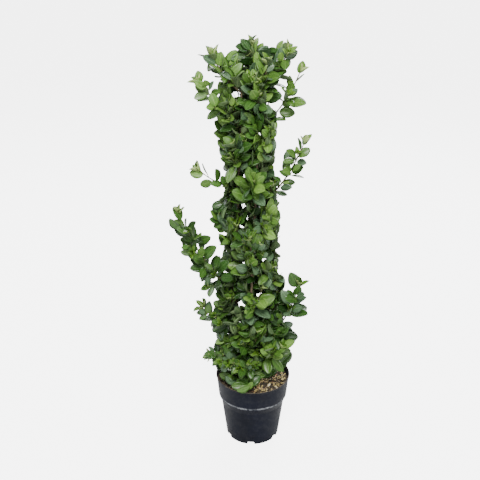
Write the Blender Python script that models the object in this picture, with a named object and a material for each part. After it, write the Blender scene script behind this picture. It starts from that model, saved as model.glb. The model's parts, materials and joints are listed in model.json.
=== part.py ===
# A tree ceanothus trained as a narrow leafy column, in a black nursery pot.
# Metres, +Z up. The origin is the middle of the pot's flat underside, and -Y is the front.
#
# Four leaders fork from a short trunk just above the soil and climb round an open middle.
# Every leader carries short side shoots all the way up, and a few long ones reach out of the
# column. A shoot is one stem with side twigs and leaves, grown by a seeded rule.

import math
import random

import bmesh
import bpy
from mathutils import Matrix, Vector
from mathutils.bvhtree import BVHTree

# Pot
POT_HEIGHT = 0.190
RIM_RADIUS = 0.101
COLLAR_FOOT = (0.0938, 0.1280)  # radius and height where the collar ends
NECK = (0.0864, 0.1100)  # radius and height where the shoulder meets the body
FOOT_RADIUS = 0.0724
WALL = 0.0020
FLOOR_THICKNESS = 0.0022
FOOT_RING_RADIUS = 0.052  # the floor is thick from here out, where the drain notches are
FOOT_RING_HEIGHT = 0.0105
NOTCH_COUNT = 6
NOTCH_FIRST_ANGLE = math.radians(-93)
NOTCH_INNER_RADIUS = 0.0585
NOTCH_HEIGHT = 0.0082
NOTCH_WIDTH = 0.022
NOTCH_TOP_WIDTH = 0.017
ROUND_STEPS = 32

FIT_GAP = 0.0003  # between solids that touch

# Soil, a little higher in the middle, where the trunk stands on a level place
SOIL_EDGE_HEIGHT = 0.1750
SOIL_SLOPE = (0.0650, 0.1785)  # radius and height where the soil starts to fall to its edge
SOIL_MIDDLE_HEIGHT = 0.1800
SOIL_FLAT_RADIUS = 0.025
SOIL_GAP = 0.0004

# Trunk and leaders
TRUNK_OUTLINE = [  # share of its height, and radius: a flared foot and a wider fork
    (0.00, 0.0125),
    (0.12, 0.0108),
    (0.35, 0.0090),
    (0.70, 0.0090),
    (1.00, 0.0112),
]
TRUNK_SIDES = 10
FORK_HEIGHT = 0.212
LEADER_RADIUS = 0.0040
LEADER_TIP_RADIUS = 0.0018
LEADER_SEAT = 0.0066  # from the trunk's axis to the foot of a leader
RING_RADIUS_LOW = 0.045  # the leaders stand on a ring that narrows towards the top
RING_RADIUS_HIGH = 0.030
RING_FULL_HEIGHT = 0.330
TWIST = math.radians(85)  # per metre of height
COLUMN_TOP = 1.000
COLUMN_LEAN = -0.012  # sideways, at the column's top
LEADER_SIDES = 5
LEADER_FOOT_STRAIGHT = 0.004
LEADER_BENDS = 6  # steps of the path up to the ring's full width
LEADER_RISES = 8  # steps above
LEADERS = {  # bearing at mid height, in degrees from +X, and height of the tip
    "left": (198, 0.985),
    "front": (278, 0.965),
    "right": (355, 0.990),
    "back": (98, 1.000),
}

# Side shoots of the column. One level of them turns one way on all leaders, the next the other.
SHOOT_FIRST_HEIGHT = 0.252
SHOOT_LAST_HEIGHT = 0.888
SHOOT_LEVELS = 7
SHOOT_STAGGER = 0.042  # every other leader's shoots leave this much higher
SHOOT_REACH = 0.027
SHOOT_CLIMB = 0.078
SHOOT_SWING = math.radians(74)
SHOOT_HEIGHT_SPREAD = 0.006
SHOOT_BEARING_SPREAD = 0.2
SHOOT_LEAVES = 8
SHOOT_TWIGS = 2
STEM_TURN = (0.62, 0.34)  # shares of reach and climb where a stem's first direction points
SHORT_STEPS = 3
LONG_STEPS = 8
SHORT_SPAN = 0.16  # a shoot whose reach and climb add up to less has a stem of few steps
SHOOT_TURNS = (0, 10, -10, 20, -20, 30, -30)  # degrees aside, tried in turn until there is room

# Long shoots that reach out of the column. bearing is in degrees from +X, and reach and climb
# run from the leader to the tip of the stem. bare is the share of the stem that is a bough.
# Their leaves look to the front, or to the bearing that looks names.
LONG_SHOOTS = {
    "left_long": dict(
        leader="left", height=0.445, bearing=181, reach=0.146, climb=0.222,
        bare=0.25, leaves=14, twigs=5,
    ),
    "left_low": dict(
        leader="left", height=0.335, bearing=186, reach=0.086, climb=0.062,
        leaves=8, twigs=2,
    ),
    "left_drooping": dict(
        leader="left", height=0.246, bearing=202, reach=0.104, climb=0.022,
        leaves=8, twigs=1,
    ),
    "left_upper": dict(
        leader="left", height=0.735, bearing=176, reach=0.094, climb=0.048,
        leaves=6, twigs=0,
    ),
    "left_high": dict(
        leader="left", height=0.925, bearing=178, reach=0.098, climb=0.082,
        leaves=8, twigs=1,
    ),
    "right_long": dict(
        leader="right", height=0.703, bearing=8, reach=0.092, climb=0.144,
        bare=0.38, leaves=9, twigs=2,
    ),
    "right_low": dict(
        leader="right", height=0.300, bearing=-10, reach=0.086, climb=0.178,
        bare=0.25, leaves=10, twigs=3,
    ),
    "right_foot": dict(
        leader="right", height=0.245, bearing=-40, reach=0.08, climb=0.062,
        leaves=8, twigs=2,
    ),
    "right_high": dict(
        leader="right", height=0.895, bearing=4, reach=0.086, climb=0.128,
        leaves=8, twigs=1,
    ),
    "front_mid": dict(
        leader="front", height=0.545, bearing=262, reach=0.052, climb=0.090,
        leaves=8, twigs=2,
    ),
    "front_foot": dict(
        leader="front", height=0.238, bearing=246, reach=0.070, climb=0.012,
        leaves=8, twigs=1,
    ),
    "left_foot": dict(
        leader="left", height=0.240, bearing=228, reach=0.060, climb=0.006,
        leaves=8, twigs=1,
    ),
    "front_low": dict(
        leader="front", height=0.284, bearing=300, reach=0.046, climb=0.072,
        leaves=8, twigs=2,
    ),
    "back_long": dict(
        leader="back", height=0.500, bearing=88, reach=0.114, climb=0.185,
        bare=0.25, leaves=11, twigs=3, looks=90,
    ),
    "back_low": dict(
        leader="back", height=0.246, bearing=76, reach=0.084, climb=0.050,
        leaves=8, twigs=2, looks=90,
    ),
    "back_high": dict(
        leader="back", height=0.850, bearing=102, reach=0.084, climb=0.110,
        leaves=8, twigs=1, looks=90,
    ),
}

# Tops, which carry the leaders on
TOP_SHOOTS = {
    "top_left": dict(
        leader="left", bearing=184, reach=0.066, climb=0.088,
        leaves=9, twigs=2,
    ),
    "top_front": dict(
        leader="front", bearing=325, reach=0.024, climb=0.092,
        leaves=9, twigs=2,
    ),
    "top_right": dict(
        leader="right", bearing=8, reach=0.06, climb=0.086,
        leaves=9, twigs=2,
    ),
    "top_back": dict(
        leader="back", bearing=35, reach=0.036, climb=0.076,
        leaves=9, twigs=2,
    ),
}

FRONT = 270  # degrees from +X

# Twigs
STEM_RADIUS = 0.0017
STEM_TIP_RADIUS = 0.0009
BOUGH_RADIUS = 0.0026
BOUGH_SIDES = 5
TWIG_RADIUS = 0.0012
TWIG_SIDES = 3
TWIG_PLACES = (0.20, 0.50)  # where on the stem the first twig may stand, and over what share
TWIG_LENGTH = 0.040
TWIG_OPENNESS = 1.0
TWIG_SPREAD = 0.3
TWIG_RISE = 0.006
TWIG_LEAVES = 4
TWIG_LEAF_SIZE = 0.9

# Leaves
LEAF_LENGTH = 0.058
LEAF_WIDTH = 0.72  # share of the length
LEAF_THICKNESS = 0.024  # share of the length, at the middle
LEAF_WIDEST = 0.47  # share of the length, from its foot
LEAF_ARCH = 0.05  # share of the length that the middle stands above foot and tip
LEAF_SIZES = (0.85, 1.12)
FIRST_LEAF = 0.14  # share of the stem
FIRST_TWIG_LEAF = 0.34
LAST_LEAF = 0.985
SHRINK_TO_TIP = 0.30
OPENNESS_AT_FOOT = 1.15  # angle between leaf and stem
OPENNESS_LOST = 0.62  # towards the tip
OPENNESS_SPREAD = 0.12
LEAF_TURN = math.radians(137.5)  # round the stem, from one leaf to the next
LEAF_LIFT = 0.10
LEAF_FLATTEN = 0.55  # how far leaves turn from pointing outwards to lying along the crown
LOOK_OUT = 0.75
LOOK_UP = 0.75
LOOK_SPREAD = 0.45
INWARD = -0.3  # a twig or leaf that would point further inwards than this grows to the other side
LEAF_TRIES = 6
NEXT_TRY = 0.9
CLEARANCE = 0.0006

COLOURS = {  # base colour, roughness
    "pot": ((0.018, 0.019, 0.024), 0.55),
    "soil": ((0.170, 0.105, 0.055), 0.95),
    "bark": ((0.230, 0.130, 0.065), 0.80),
    "leaf": ((0.060, 0.165, 0.040), 0.50),
}


def clear_scene():
    for obj in list(bpy.data.objects):
        bpy.data.objects.remove(obj)


def material(name):
    found = bpy.data.materials.get(name)
    if found:
        return found
    made = bpy.data.materials.new(name)
    made.use_nodes = True
    colour, roughness = COLOURS[name]
    shader = made.node_tree.nodes["Principled BSDF"]
    shader.inputs["Base Color"].default_value = (*colour, 1.0)
    shader.inputs["Roughness"].default_value = roughness
    shader.inputs["Metallic"].default_value = 0.0
    made.diffuse_color = (*colour, 1.0)
    return made


def add_object(name, shape, colour, collection=None):
    points, faces = shape
    mesh = bpy.data.meshes.new(name)
    mesh.from_pydata([tuple(p) for p in points], [], faces)
    mesh.materials.append(material(colour))
    obj = bpy.data.objects.new(name, mesh)
    (collection or bpy.context.scene.collection).objects.link(obj)
    return obj


# Round pieces


def turned(name, profile, colour):
    """A solid of revolution. The profile runs from the axis, round the outside and back to the axis."""
    bm = bmesh.new()
    corners = [bm.verts.new((r, 0.0, z)) for r, z in profile]
    edges = [bm.edges.new(pair) for pair in zip(corners, corners[1:])]
    bmesh.ops.spin(
        bm,
        geom=corners + edges,
        axis=(0, 0, 1),
        cent=(0, 0, 0),
        angle=2 * math.pi,
        steps=ROUND_STEPS,
    )
    bmesh.ops.remove_doubles(bm, verts=bm.verts, dist=1e-6)
    bmesh.ops.recalc_face_normals(bm, faces=bm.faces)
    mesh = bpy.data.meshes.new(name)
    bm.to_mesh(mesh)
    bm.free()
    mesh.shade_smooth()
    mesh.set_sharp_from_angle(angle=math.radians(35))
    mesh.materials.append(material(colour))
    obj = bpy.data.objects.new(name, mesh)
    bpy.context.scene.collection.objects.link(obj)
    return obj


def inner_wall():
    """The pot's inside, from the soil's top edge down to the floor's middle."""
    collar_radius, collar_height = COLLAR_FOOT
    neck_radius, neck_height = NECK
    return [
        (RIM_RADIUS - WALL - 0.0010, POT_HEIGHT - 0.0006),
        (collar_radius - WALL, collar_height + 0.0012),
        (neck_radius - WALL, neck_height + 0.0006),
        (FOOT_RADIUS - WALL - 0.0010, FOOT_RING_HEIGHT),
        (FOOT_RING_RADIUS, FOOT_RING_HEIGHT),
        (FOOT_RING_RADIUS - 0.0015, FLOOR_THICKNESS),
        (0.0, FLOOR_THICKNESS),
    ]


def notch_cutter(index):
    angle = NOTCH_FIRST_ANGLE + index * 2 * math.pi / NOTCH_COUNT
    inner, outer, below = NOTCH_INNER_RADIUS, FOOT_RADIUS + 0.010, -0.004
    low, high = NOTCH_WIDTH / 2, NOTCH_TOP_WIDTH / 2
    points = [
        (r, side * half, z)
        for r in (inner, outer)
        for half, z in ((low, below), (high, NOTCH_HEIGHT))
        for side in (-1, 1)
    ]
    faces = [(0, 2, 3, 1), (4, 5, 7, 6), (0, 1, 5, 4), (2, 6, 7, 3), (0, 4, 6, 2), (1, 3, 7, 5)]
    turn = Matrix.Rotation(angle, 3, "Z")
    return [turn @ Vector(p) for p in points], faces


def make_pot():
    collar_radius, collar_height = COLLAR_FOOT
    outside = [
        (0.0, 0.0),
        (FOOT_RADIUS - 0.0012, 0.0),
        (FOOT_RADIUS, 0.0012),
        NECK,
        (collar_radius - 0.0010, collar_height - 0.0022),
        (collar_radius, collar_height),
        (RIM_RADIUS - 0.0014, POT_HEIGHT - 0.0055),
        (RIM_RADIUS, POT_HEIGHT - 0.0040),
        (RIM_RADIUS, POT_HEIGHT - 0.0008),
        (RIM_RADIUS - 0.0012, POT_HEIGHT),
    ]
    pot = turned("pot", outside + inner_wall(), "pot")
    cutters = bpy.data.collections.new("notch_cutters")
    bpy.context.scene.collection.children.link(cutters)
    for index in range(NOTCH_COUNT):
        add_object(f"notch_{index}", notch_cutter(index), "pot", cutters)
    boolean(pot, cutters, "DIFFERENCE")
    return pot


def make_soil():
    walls = inner_wall()
    top_radius = walls[0][0] + (walls[1][0] - walls[0][0]) * (
        (walls[0][1] - SOIL_EDGE_HEIGHT) / (walls[0][1] - walls[1][1])
    )
    low = NECK[1] / 2  # under this height the soil also keeps clear of the floor and its ring
    below = [(r - SOIL_GAP, z + SOIL_GAP * (z < low)) for r, z in walls[1:-1]]
    profile = [
        (0.0, SOIL_MIDDLE_HEIGHT),
        (SOIL_FLAT_RADIUS, SOIL_MIDDLE_HEIGHT),
        SOIL_SLOPE,
        (top_radius - SOIL_GAP, SOIL_EDGE_HEIGHT),
        *below,
        (0.0, FLOOR_THICKNESS + SOIL_GAP),
    ]
    return turned("soil", profile, "soil")


# Tubes and leaves, as points and faces


def tube(path, radii, sides):
    """A closed tube along the path, its ring carried along without twisting."""
    points, faces = [], []
    across = None
    for i, (centre, radius) in enumerate(zip(path, radii)):
        along = (path[min(i + 1, len(path) - 1)] - path[max(i - 1, 0)]).normalized()
        if across is None:
            across = along.orthogonal()
        across = (across - along * across.dot(along)).normalized()
        third = along.cross(across)
        for k in range(sides):
            angle = 2 * math.pi * k / sides
            points.append(centre + (across * math.cos(angle) + third * math.sin(angle)) * radius)
    for i in range(len(path) - 1):
        for k in range(sides):
            a, b = i * sides + k, i * sides + (k + 1) % sides
            faces.append((a, b, b + sides, a + sides))
    faces.append(tuple(reversed(range(sides))))
    last = (len(path) - 1) * sides
    faces.append(tuple(range(last, last + sides)))
    return points, faces


def leaf(foot, along, face, length, extra=0.0):
    """Six faces: a low roof over an arched diamond of foot, left, right and tip.
    With extra it is the room that such a leaf needs, that much larger and with a keel below."""
    side = along.cross(face)
    half = length * LEAF_WIDTH / 2 + extra
    middle = foot + along * (length * LEAF_WIDEST) + face * (length * LEAF_ARCH)
    points = [
        foot - along * extra,
        middle - side * half,
        middle + side * half,
        foot + along * (length + extra),
        middle + face * (length * LEAF_THICKNESS + extra),
        middle - face * extra,
    ]
    roof = [(0, 2, 4), (2, 3, 4), (3, 1, 4), (1, 0, 4)]
    if extra:
        return points, roof + [(2, 0, 5), (3, 2, 5), (1, 3, 5), (0, 1, 5)]
    return points[:5], roof + [(0, 1, 2), (1, 3, 2)]


def curve(start, turn, end, count):
    """Points on the smooth curve that leaves start towards turn and arrives at end from it."""
    made = []
    for i in range(count + 1):
        t = i / count
        made.append(start * (1 - t) ** 2 + turn * (2 * t * (1 - t)) + end * t**2)
    return made


def taper(first, last, count):
    return [first + (last - first) * i / count for i in range(count + 1)]


def bearing(angle):
    return Vector((math.cos(angle), math.sin(angle), 0.0))


UP = Vector((0, 0, 1))


def smooth_step(t):
    t = min(1.0, max(0.0, t))
    return t * t * (3 - 2 * t)


# Leaders


def column_axis(height):
    share = max(0.0, (height - RING_FULL_HEIGHT) / (COLUMN_TOP - RING_FULL_HEIGHT))
    return Vector((COLUMN_LEAN * share, 0.0, height))


def leader_bearing(name, height):
    middle = (FORK_HEIGHT + COLUMN_TOP) / 2
    return math.radians(LEADERS[name][0]) + TWIST * (height - middle)


def leader_point(name, height):
    """The leader's axis at a height: out from the fork to its ring, then slowly inwards."""
    out = smooth_step((height - FORK_HEIGHT) / (RING_FULL_HEIGHT - FORK_HEIGHT))
    up = max(0.0, (height - RING_FULL_HEIGHT) / (COLUMN_TOP - RING_FULL_HEIGHT))
    ring = RING_RADIUS_LOW + (RING_RADIUS_HIGH - RING_RADIUS_LOW) * up
    radius = LEADER_SEAT + (ring - LEADER_SEAT) * out
    return column_axis(height) + bearing(leader_bearing(name, height)) * radius


def leader_radius(name, height):
    tip = LEADERS[name][1]
    share = (height - FORK_HEIGHT) / (tip - FORK_HEIGHT)
    return LEADER_RADIUS + (LEADER_TIP_RADIUS - LEADER_RADIUS) * share


def make_leader(name):
    foot, tip = FORK_HEIGHT + FIT_GAP, LEADERS[name][1]
    bend, rise = RING_FULL_HEIGHT - foot, tip - RING_FULL_HEIGHT
    heights = [foot, foot + LEADER_FOOT_STRAIGHT]
    heights += [foot + bend * (i + 1) / LEADER_BENDS for i in range(LEADER_BENDS)]
    heights += [RING_FULL_HEIGHT + rise * (i + 1) / LEADER_RISES for i in range(LEADER_RISES)]
    path = [leader_point(name, z) for z in heights]
    path[0] = Vector((path[1].x, path[1].y, foot))
    radii = [leader_radius(name, z) for z in heights]
    return tube(path, radii, LEADER_SIDES)


def make_trunk():
    foot = SOIL_MIDDLE_HEIGHT + FIT_GAP
    path = [Vector((0, 0, foot + (FORK_HEIGHT - foot) * share)) for share, _ in TRUNK_OUTLINE]
    return tube(path, [radius for _, radius in TRUNK_OUTLINE], TRUNK_SIDES)


# The room that solids take


class Room:
    """The solids placed so far, and the test that a new one clears them."""

    def __init__(self):
        self.taken = []

    def add(self, owner, shape):
        points, faces = shape
        low = Vector(map(min, zip(*points)))
        high = Vector(map(max, zip(*points)))
        self.taken.append((owner, BVHTree.FromPolygons(points, faces), low, high))

    def is_free(self, shape, fused=()):
        """True if the shape touches nothing but its own fused pieces."""
        points, faces = shape
        low = Vector(map(min, zip(*points)))
        high = Vector(map(max, zip(*points)))
        tree = None
        for owner, other, other_low, other_high in self.taken:
            if owner in fused:
                continue
            if any(low[k] > other_high[k] or high[k] < other_low[k] for k in range(3)):
                continue
            tree = tree or BVHTree.FromPolygons(points, faces)
            if tree.overlap(other):
                return False
        return True


def start_clear(path, radius, sides, limb):
    """Moves the first point out of the limb until the stem's end is a fit gap from it."""
    tree = BVHTree.FromPolygons(*limb)
    along = (path[1] - path[0]).normalized()
    across = along.orthogonal().normalized()
    step, travel = 0.0001, 0.0
    while travel < (path[1] - path[0]).length * 0.95:
        centre = path[0] + along * travel
        third = along.cross(across)
        corners = [
            centre + (across * math.cos(a) + third * math.sin(a)) * radius
            for a in (2 * math.pi * k / sides for k in range(sides))
        ]
        outside = all(is_outside(tree, c) for c in corners + [centre])
        if outside and min(tree.find_nearest(c)[3] for c in corners) >= FIT_GAP:
            return [centre] + path[1:]
        travel += step
    raise ValueError("a stem never leaves its limb")


def is_outside(tree, point):
    nearest, normal, _, _ = tree.find_nearest(point)
    return (point - nearest).dot(normal) > 0


# Shoots


def shoot_path(start, heading, reach, climb, count):
    """The stem leaves sideways and ends steeper, as a shoot that turns to the light."""
    out = bearing(heading)
    end = start + out * reach + UP * climb
    turn = start + out * (reach * STEM_TURN[0]) + UP * (climb * STEM_TURN[1])
    return curve(start, turn, end, count)


def all_shoots():
    """Every shoot by name, with the leader and the height that it leaves at."""
    shoots = {}
    for order, leader in enumerate(LEADERS):
        for level in range(SHOOT_LEVELS):
            share = level / (SHOOT_LEVELS - 1)
            dice = random.Random(f"{leader} {level}")
            height = SHOOT_FIRST_HEIGHT + (SHOOT_LAST_HEIGHT - SHOOT_FIRST_HEIGHT) * share
            height += SHOOT_STAGGER * (order % 2)
            height += dice.uniform(-SHOOT_HEIGHT_SPREAD, SHOOT_HEIGHT_SPREAD)
            name = f"shoot_{leader}_{level + 1}"
            swing = SHOOT_SWING * (1 if level % 2 else -1)
            heading = leader_bearing(leader, height) + swing
            heading += dice.uniform(-SHOOT_BEARING_SPREAD, SHOOT_BEARING_SPREAD)
            shoots[name] = dict(
                leader=leader,
                height=height,
                bearing=math.degrees(heading),
                turns=SHOOT_TURNS,
                reach=SHOOT_REACH * dice.uniform(0.8, 1.2),
                climb=SHOOT_CLIMB * dice.uniform(0.85, 1.12),
                leaves=SHOOT_LEAVES,
                twigs=SHOOT_TWIGS,
            )
    return {**LONG_SHOOTS, **TOP_SHOOTS, **shoots}


def split_path(path, share):
    """The bough's stretch of a path, and the mass's, which starts a fit gap further on."""
    index = max(1, round(share * (len(path) - 1)))
    bough, stem = path[: index + 1], path[index:]
    along = (stem[1] - stem[0]).normalized()
    return bough, [stem[0] + along * (FIT_GAP * 1.1)] + stem[1:]


def seat_on_tip(path, leader):
    """Starts a top's stem a fit gap above the flat end of its leader."""
    height = LEADERS[leader][1]
    upwards = (leader_point(leader, height) - leader_point(leader, height - 0.01)).normalized()
    along = (path[1] - path[0]).normalized()
    lift = FIT_GAP + STEM_RADIUS * along.cross(upwards).length
    return [path[0] + upwards * lift] + path[1:]


def stem_shapes(name, path, bare, extra=0.0):
    """The bough, if the shoot has one, and the stem, as shapes by name."""
    shapes = {}
    if bare:
        bough, path = split_path(path, bare)
        radii = [r + extra for r in taper(BOUGH_RADIUS, STEM_RADIUS, len(bough) - 1)]
        shapes[f"bough_{name}"] = tube(bough, radii, BOUGH_SIDES)
    radii = [r + extra for r in taper(STEM_RADIUS, STEM_TIP_RADIUS, len(path) - 1)]
    shapes[name + " stem"] = tube(path, radii, TWIG_SIDES)
    return shapes, path


def place_shoot(name, shoot, limb, room):
    """The path of the shoot's stem, and the shapes of its bough, if any, and stem."""
    leader, bare = shoot["leader"], shoot.get("bare", 0.0)
    top = name in TOP_SHOOTS
    start = leader_point(leader, LEADERS[leader][1] if top else shoot["height"])
    reach, climb = shoot["reach"], shoot["climb"]
    count = SHORT_STEPS if reach + climb < SHORT_SPAN else LONG_STEPS
    for turn in shoot.get("turns", (0,)):
        heading = math.radians(shoot["bearing"] + turn)
        path = shoot_path(start, heading, reach, climb, count)
        if top:
            path = seat_on_tip(path, leader)
        elif bare:
            path = start_clear(path, BOUGH_RADIUS, BOUGH_SIDES, limb)
        else:
            path = start_clear(path, STEM_RADIUS, TWIG_SIDES, limb)
        wide, _ = stem_shapes(name, path, bare, CLEARANCE)
        snug, _ = stem_shapes(name, path, bare, FIT_GAP / 2)
        clear_of_others = all(room.is_free(shape, fused=(leader,)) for shape in wide.values())
        if clear_of_others and all(room.is_free(shape) for shape in snug.values()):
            return stem_shapes(name, path, bare)
    raise ValueError(f"no room for {name}")


def branch_off(stem, share, side, outward):
    """Where a side twig or leaf leaves its stem, and the level direction across the stem."""
    place = share * (len(stem) - 1)
    i = min(int(place), len(stem) - 2)
    foot = stem[i].lerp(stem[i + 1], place - i)
    along = (stem[i + 1] - stem[i]).normalized()
    across = UP.cross(along)
    across = across.normalized() if across.length > 0.05 else along.orthogonal().normalized()
    sideways = across * math.cos(side) + along.cross(across) * math.sin(side)
    if sideways.dot(outward) < INWARD:
        sideways = -sideways
    return foot, along, sideways


def leaf_frame(stem, share, turn, openness, outward, dice):
    """Where a leaf stands on its stem, which way it runs, and the way its upper face looks."""
    foot, stem_along, sideways = branch_off(stem, share, turn, outward)
    along = stem_along * math.cos(openness) + sideways * math.sin(openness) + UP * LEAF_LIFT
    along -= outward * (along.dot(outward) * LEAF_FLATTEN)
    along.normalize()
    wish = outward * LOOK_OUT + UP * LOOK_UP
    wish += Vector([dice.uniform(-LOOK_SPREAD, LOOK_SPREAD) for _ in range(3)])
    face = wish - along * wish.dot(along)
    return foot, along, face.normalized()


def grow_twigs(name, shoot, stem, outward, dice, room):
    """Side twigs, to one side of the stem and the other in turn."""
    twigs = []
    for index in range(shoot["twigs"]):
        share = TWIG_PLACES[0] + TWIG_PLACES[1] * (index + 0.5) / shoot["twigs"]
        side = math.pi * (index % 2) + dice.uniform(-TWIG_SPREAD, TWIG_SPREAD)
        foot, along, sideways = branch_off(stem, share, side, outward)
        heading = along * math.cos(TWIG_OPENNESS) + sideways * math.sin(TWIG_OPENNESS)
        reach = heading * (TWIG_LENGTH * dice.uniform(0.85, 1.2))
        twig = [foot, foot + reach + UP * TWIG_RISE]
        radii = [TWIG_RADIUS, STEM_TIP_RADIUS]
        wide = tube(twig, [r + CLEARANCE for r in radii], TWIG_SIDES)
        if room.is_free(wide, fused=(name + " stem",)):
            shape = tube(twig, radii, TWIG_SIDES)
            room.add(name + " stem", shape)
            twigs.append((twig, shape))
    return twigs


def grow_leaves(name, stem, count, first, scale, outward, dice, room):
    """Leaves round a stem, each turned on from the last, smaller and closer to it near the tip."""
    shapes = []
    turn = dice.uniform(0, 2 * math.pi)
    for index in range(count):
        share = first + (LAST_LEAF - first) * index / (count - 1)
        size = LEAF_LENGTH * scale * (1 - SHRINK_TO_TIP * share**2) * dice.uniform(*LEAF_SIZES)
        openness = OPENNESS_AT_FOOT - OPENNESS_LOST * share
        openness += dice.uniform(-OPENNESS_SPREAD, OPENNESS_SPREAD)
        for attempt in range(LEAF_TRIES):
            frame = leaf_frame(stem, share, turn + attempt * NEXT_TRY, openness, outward, dice)
            if room.is_free(leaf(*frame, size, CLEARANCE), fused=(name + " stem",)):
                shapes.append(leaf(*frame, size))
                room.add(name, shapes[-1])
                break
        turn += LEAF_TURN
    return shapes


def look_direction(name, shoot, stem):
    """The level direction that a shoot's leaves look in: out from the column, or to the light."""
    if name in LONG_SHOOTS:
        return bearing(math.radians(shoot.get("looks", FRONT)))
    out = stem[-1] - column_axis(stem[-1].z)
    return Vector((out.x, out.y, 0.0)).normalized()


def grow(name, shoot, stem, stem_shape, room):
    """The stem, side twigs and leaves of one shoot, as shapes that fuse into one solid."""
    dice = random.Random(name)
    outward = look_direction(name, shoot, stem)
    twigs = grow_twigs(name, shoot, stem, outward, dice, room)
    leaves = grow_leaves(name, stem, shoot["leaves"], FIRST_LEAF, 1.0, outward, dice, room)
    for twig, _ in twigs:
        leaves += grow_leaves(
            name, twig, TWIG_LEAVES, FIRST_TWIG_LEAF, TWIG_LEAF_SIZE, outward, dice, room
        )
    return [stem_shape] + [shape for _, shape in twigs] + leaves


# Fusing


def boolean(obj, collection, operation):
    """Joins or cuts obj with the collection, keeps the result as its mesh and removes the rest."""
    modifier = obj.modifiers.new("fuse", "BOOLEAN")
    modifier.operation = operation
    modifier.operand_type = "COLLECTION"
    modifier.collection = collection
    modifier.solver = "EXACT"
    bpy.context.view_layer.update()
    graph = bpy.context.evaluated_depsgraph_get()
    mesh = bpy.data.meshes.new_from_object(obj.evaluated_get(graph))
    obj.modifiers.clear()
    obj.data = mesh
    for other in list(collection.objects):
        bpy.data.objects.remove(other)
    bpy.data.collections.remove(collection)


def drop_scraps(obj):
    """Keeps the largest body of the mesh, if a union left more than one."""
    bm = bmesh.new()
    bm.from_mesh(obj.data)
    unseen = set(bm.verts)
    bodies = []
    while unseen:
        queue = [unseen.pop()]
        body = set(queue)
        while queue:
            found = {vert for edge in queue.pop().link_edges for vert in edge.verts} & unseen
            unseen -= found
            body |= found
            queue.extend(found)
        bodies.append(body)
    bodies.sort(key=len)
    for body in bodies[:-1]:
        bmesh.ops.delete(bm, geom=list(body), context="VERTS")
    bm.to_mesh(obj.data)
    bm.free()


def fuse(name, shapes):
    stem = add_object(name, shapes[0], "leaf")
    others = bpy.data.collections.new(name + "_pieces")
    bpy.context.scene.collection.children.link(others)
    for index, shape in enumerate(shapes[1:]):
        add_object(f"{name}_{index}", shape, "leaf", others)
    boolean(stem, others, "UNION")
    drop_scraps(stem)


def shape_of(obj):
    return [v.co.copy() for v in obj.data.vertices], [tuple(p.vertices) for p in obj.data.polygons]


def main():
    clear_scene()
    room = Room()
    room.add("pot", shape_of(make_pot()))
    room.add("soil", shape_of(make_soil()))
    limbs = {"trunk": make_trunk(), **{leader: make_leader(leader) for leader in LEADERS}}
    for name, limb in limbs.items():
        add_object(name if name == "trunk" else f"leader_{name}", limb, "bark")
        room.add(name, limb)
    shoots = all_shoots()
    stems = {}
    for name, shoot in shoots.items():
        shapes, path = place_shoot(name, shoot, limbs[shoot["leader"]], room)
        for owner, shape in shapes.items():
            room.add(owner, shape)
            if owner.startswith("bough_"):
                add_object(owner, shape, "bark")
        stems[name] = path, shapes[name + " stem"]
    for name, (path, stem_shape) in stems.items():
        fuse(name, grow(name, shoots[name], path, stem_shape, room))


main()
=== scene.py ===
# Looks of a tree ceanothus in a black nursery pot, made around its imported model.
# Metres, +Z up. -Y is the front, and the whole plant rides on one body.

import json
import math
import random

import bpy
import numpy as np
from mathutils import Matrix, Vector

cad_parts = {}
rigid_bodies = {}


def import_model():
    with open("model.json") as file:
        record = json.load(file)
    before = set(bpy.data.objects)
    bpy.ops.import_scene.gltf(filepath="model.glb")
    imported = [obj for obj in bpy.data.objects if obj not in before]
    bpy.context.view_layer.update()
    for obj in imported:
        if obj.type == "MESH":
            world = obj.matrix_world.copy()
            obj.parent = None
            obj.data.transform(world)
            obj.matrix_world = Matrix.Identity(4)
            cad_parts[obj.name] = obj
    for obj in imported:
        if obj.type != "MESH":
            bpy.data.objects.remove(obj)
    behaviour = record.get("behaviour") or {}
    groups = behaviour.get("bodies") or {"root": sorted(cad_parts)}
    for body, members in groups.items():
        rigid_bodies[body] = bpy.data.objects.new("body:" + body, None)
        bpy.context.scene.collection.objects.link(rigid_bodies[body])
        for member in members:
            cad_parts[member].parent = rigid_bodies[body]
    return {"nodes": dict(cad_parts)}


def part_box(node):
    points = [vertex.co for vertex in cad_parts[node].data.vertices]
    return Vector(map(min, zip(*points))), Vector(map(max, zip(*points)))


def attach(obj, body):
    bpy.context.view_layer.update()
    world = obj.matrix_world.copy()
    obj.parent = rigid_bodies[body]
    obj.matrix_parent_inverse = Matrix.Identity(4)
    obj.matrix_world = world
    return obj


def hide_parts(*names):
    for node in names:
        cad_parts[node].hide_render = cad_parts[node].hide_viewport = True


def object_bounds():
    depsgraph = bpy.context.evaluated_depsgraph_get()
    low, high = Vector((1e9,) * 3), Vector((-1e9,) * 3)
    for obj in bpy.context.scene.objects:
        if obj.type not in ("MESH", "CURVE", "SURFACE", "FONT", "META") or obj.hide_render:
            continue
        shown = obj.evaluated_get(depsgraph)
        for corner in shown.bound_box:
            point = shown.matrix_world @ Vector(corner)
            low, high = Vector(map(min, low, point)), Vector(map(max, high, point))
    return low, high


print("loading the packed model")
for thing in list(bpy.data.objects):
    bpy.data.objects.remove(thing)
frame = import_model()
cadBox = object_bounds()
up = np.array([0.0, 0.0, 1.0])


# Directions, curves and meshes

def unit(vectors):
    return vectors / np.linalg.norm(vectors, axis=-1, keepdims=True)


def levelWay(degrees):
    # level direction at a bearing from +X
    angle = math.radians(degrees)
    return np.array([math.cos(angle), math.sin(angle), 0.0])


def smooth(t):
    # 3 t^2 - 2 t^3, held between 0 and 1
    t = np.clip(t, 0, 1)
    return t * t * (3 - 2 * t)


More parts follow.
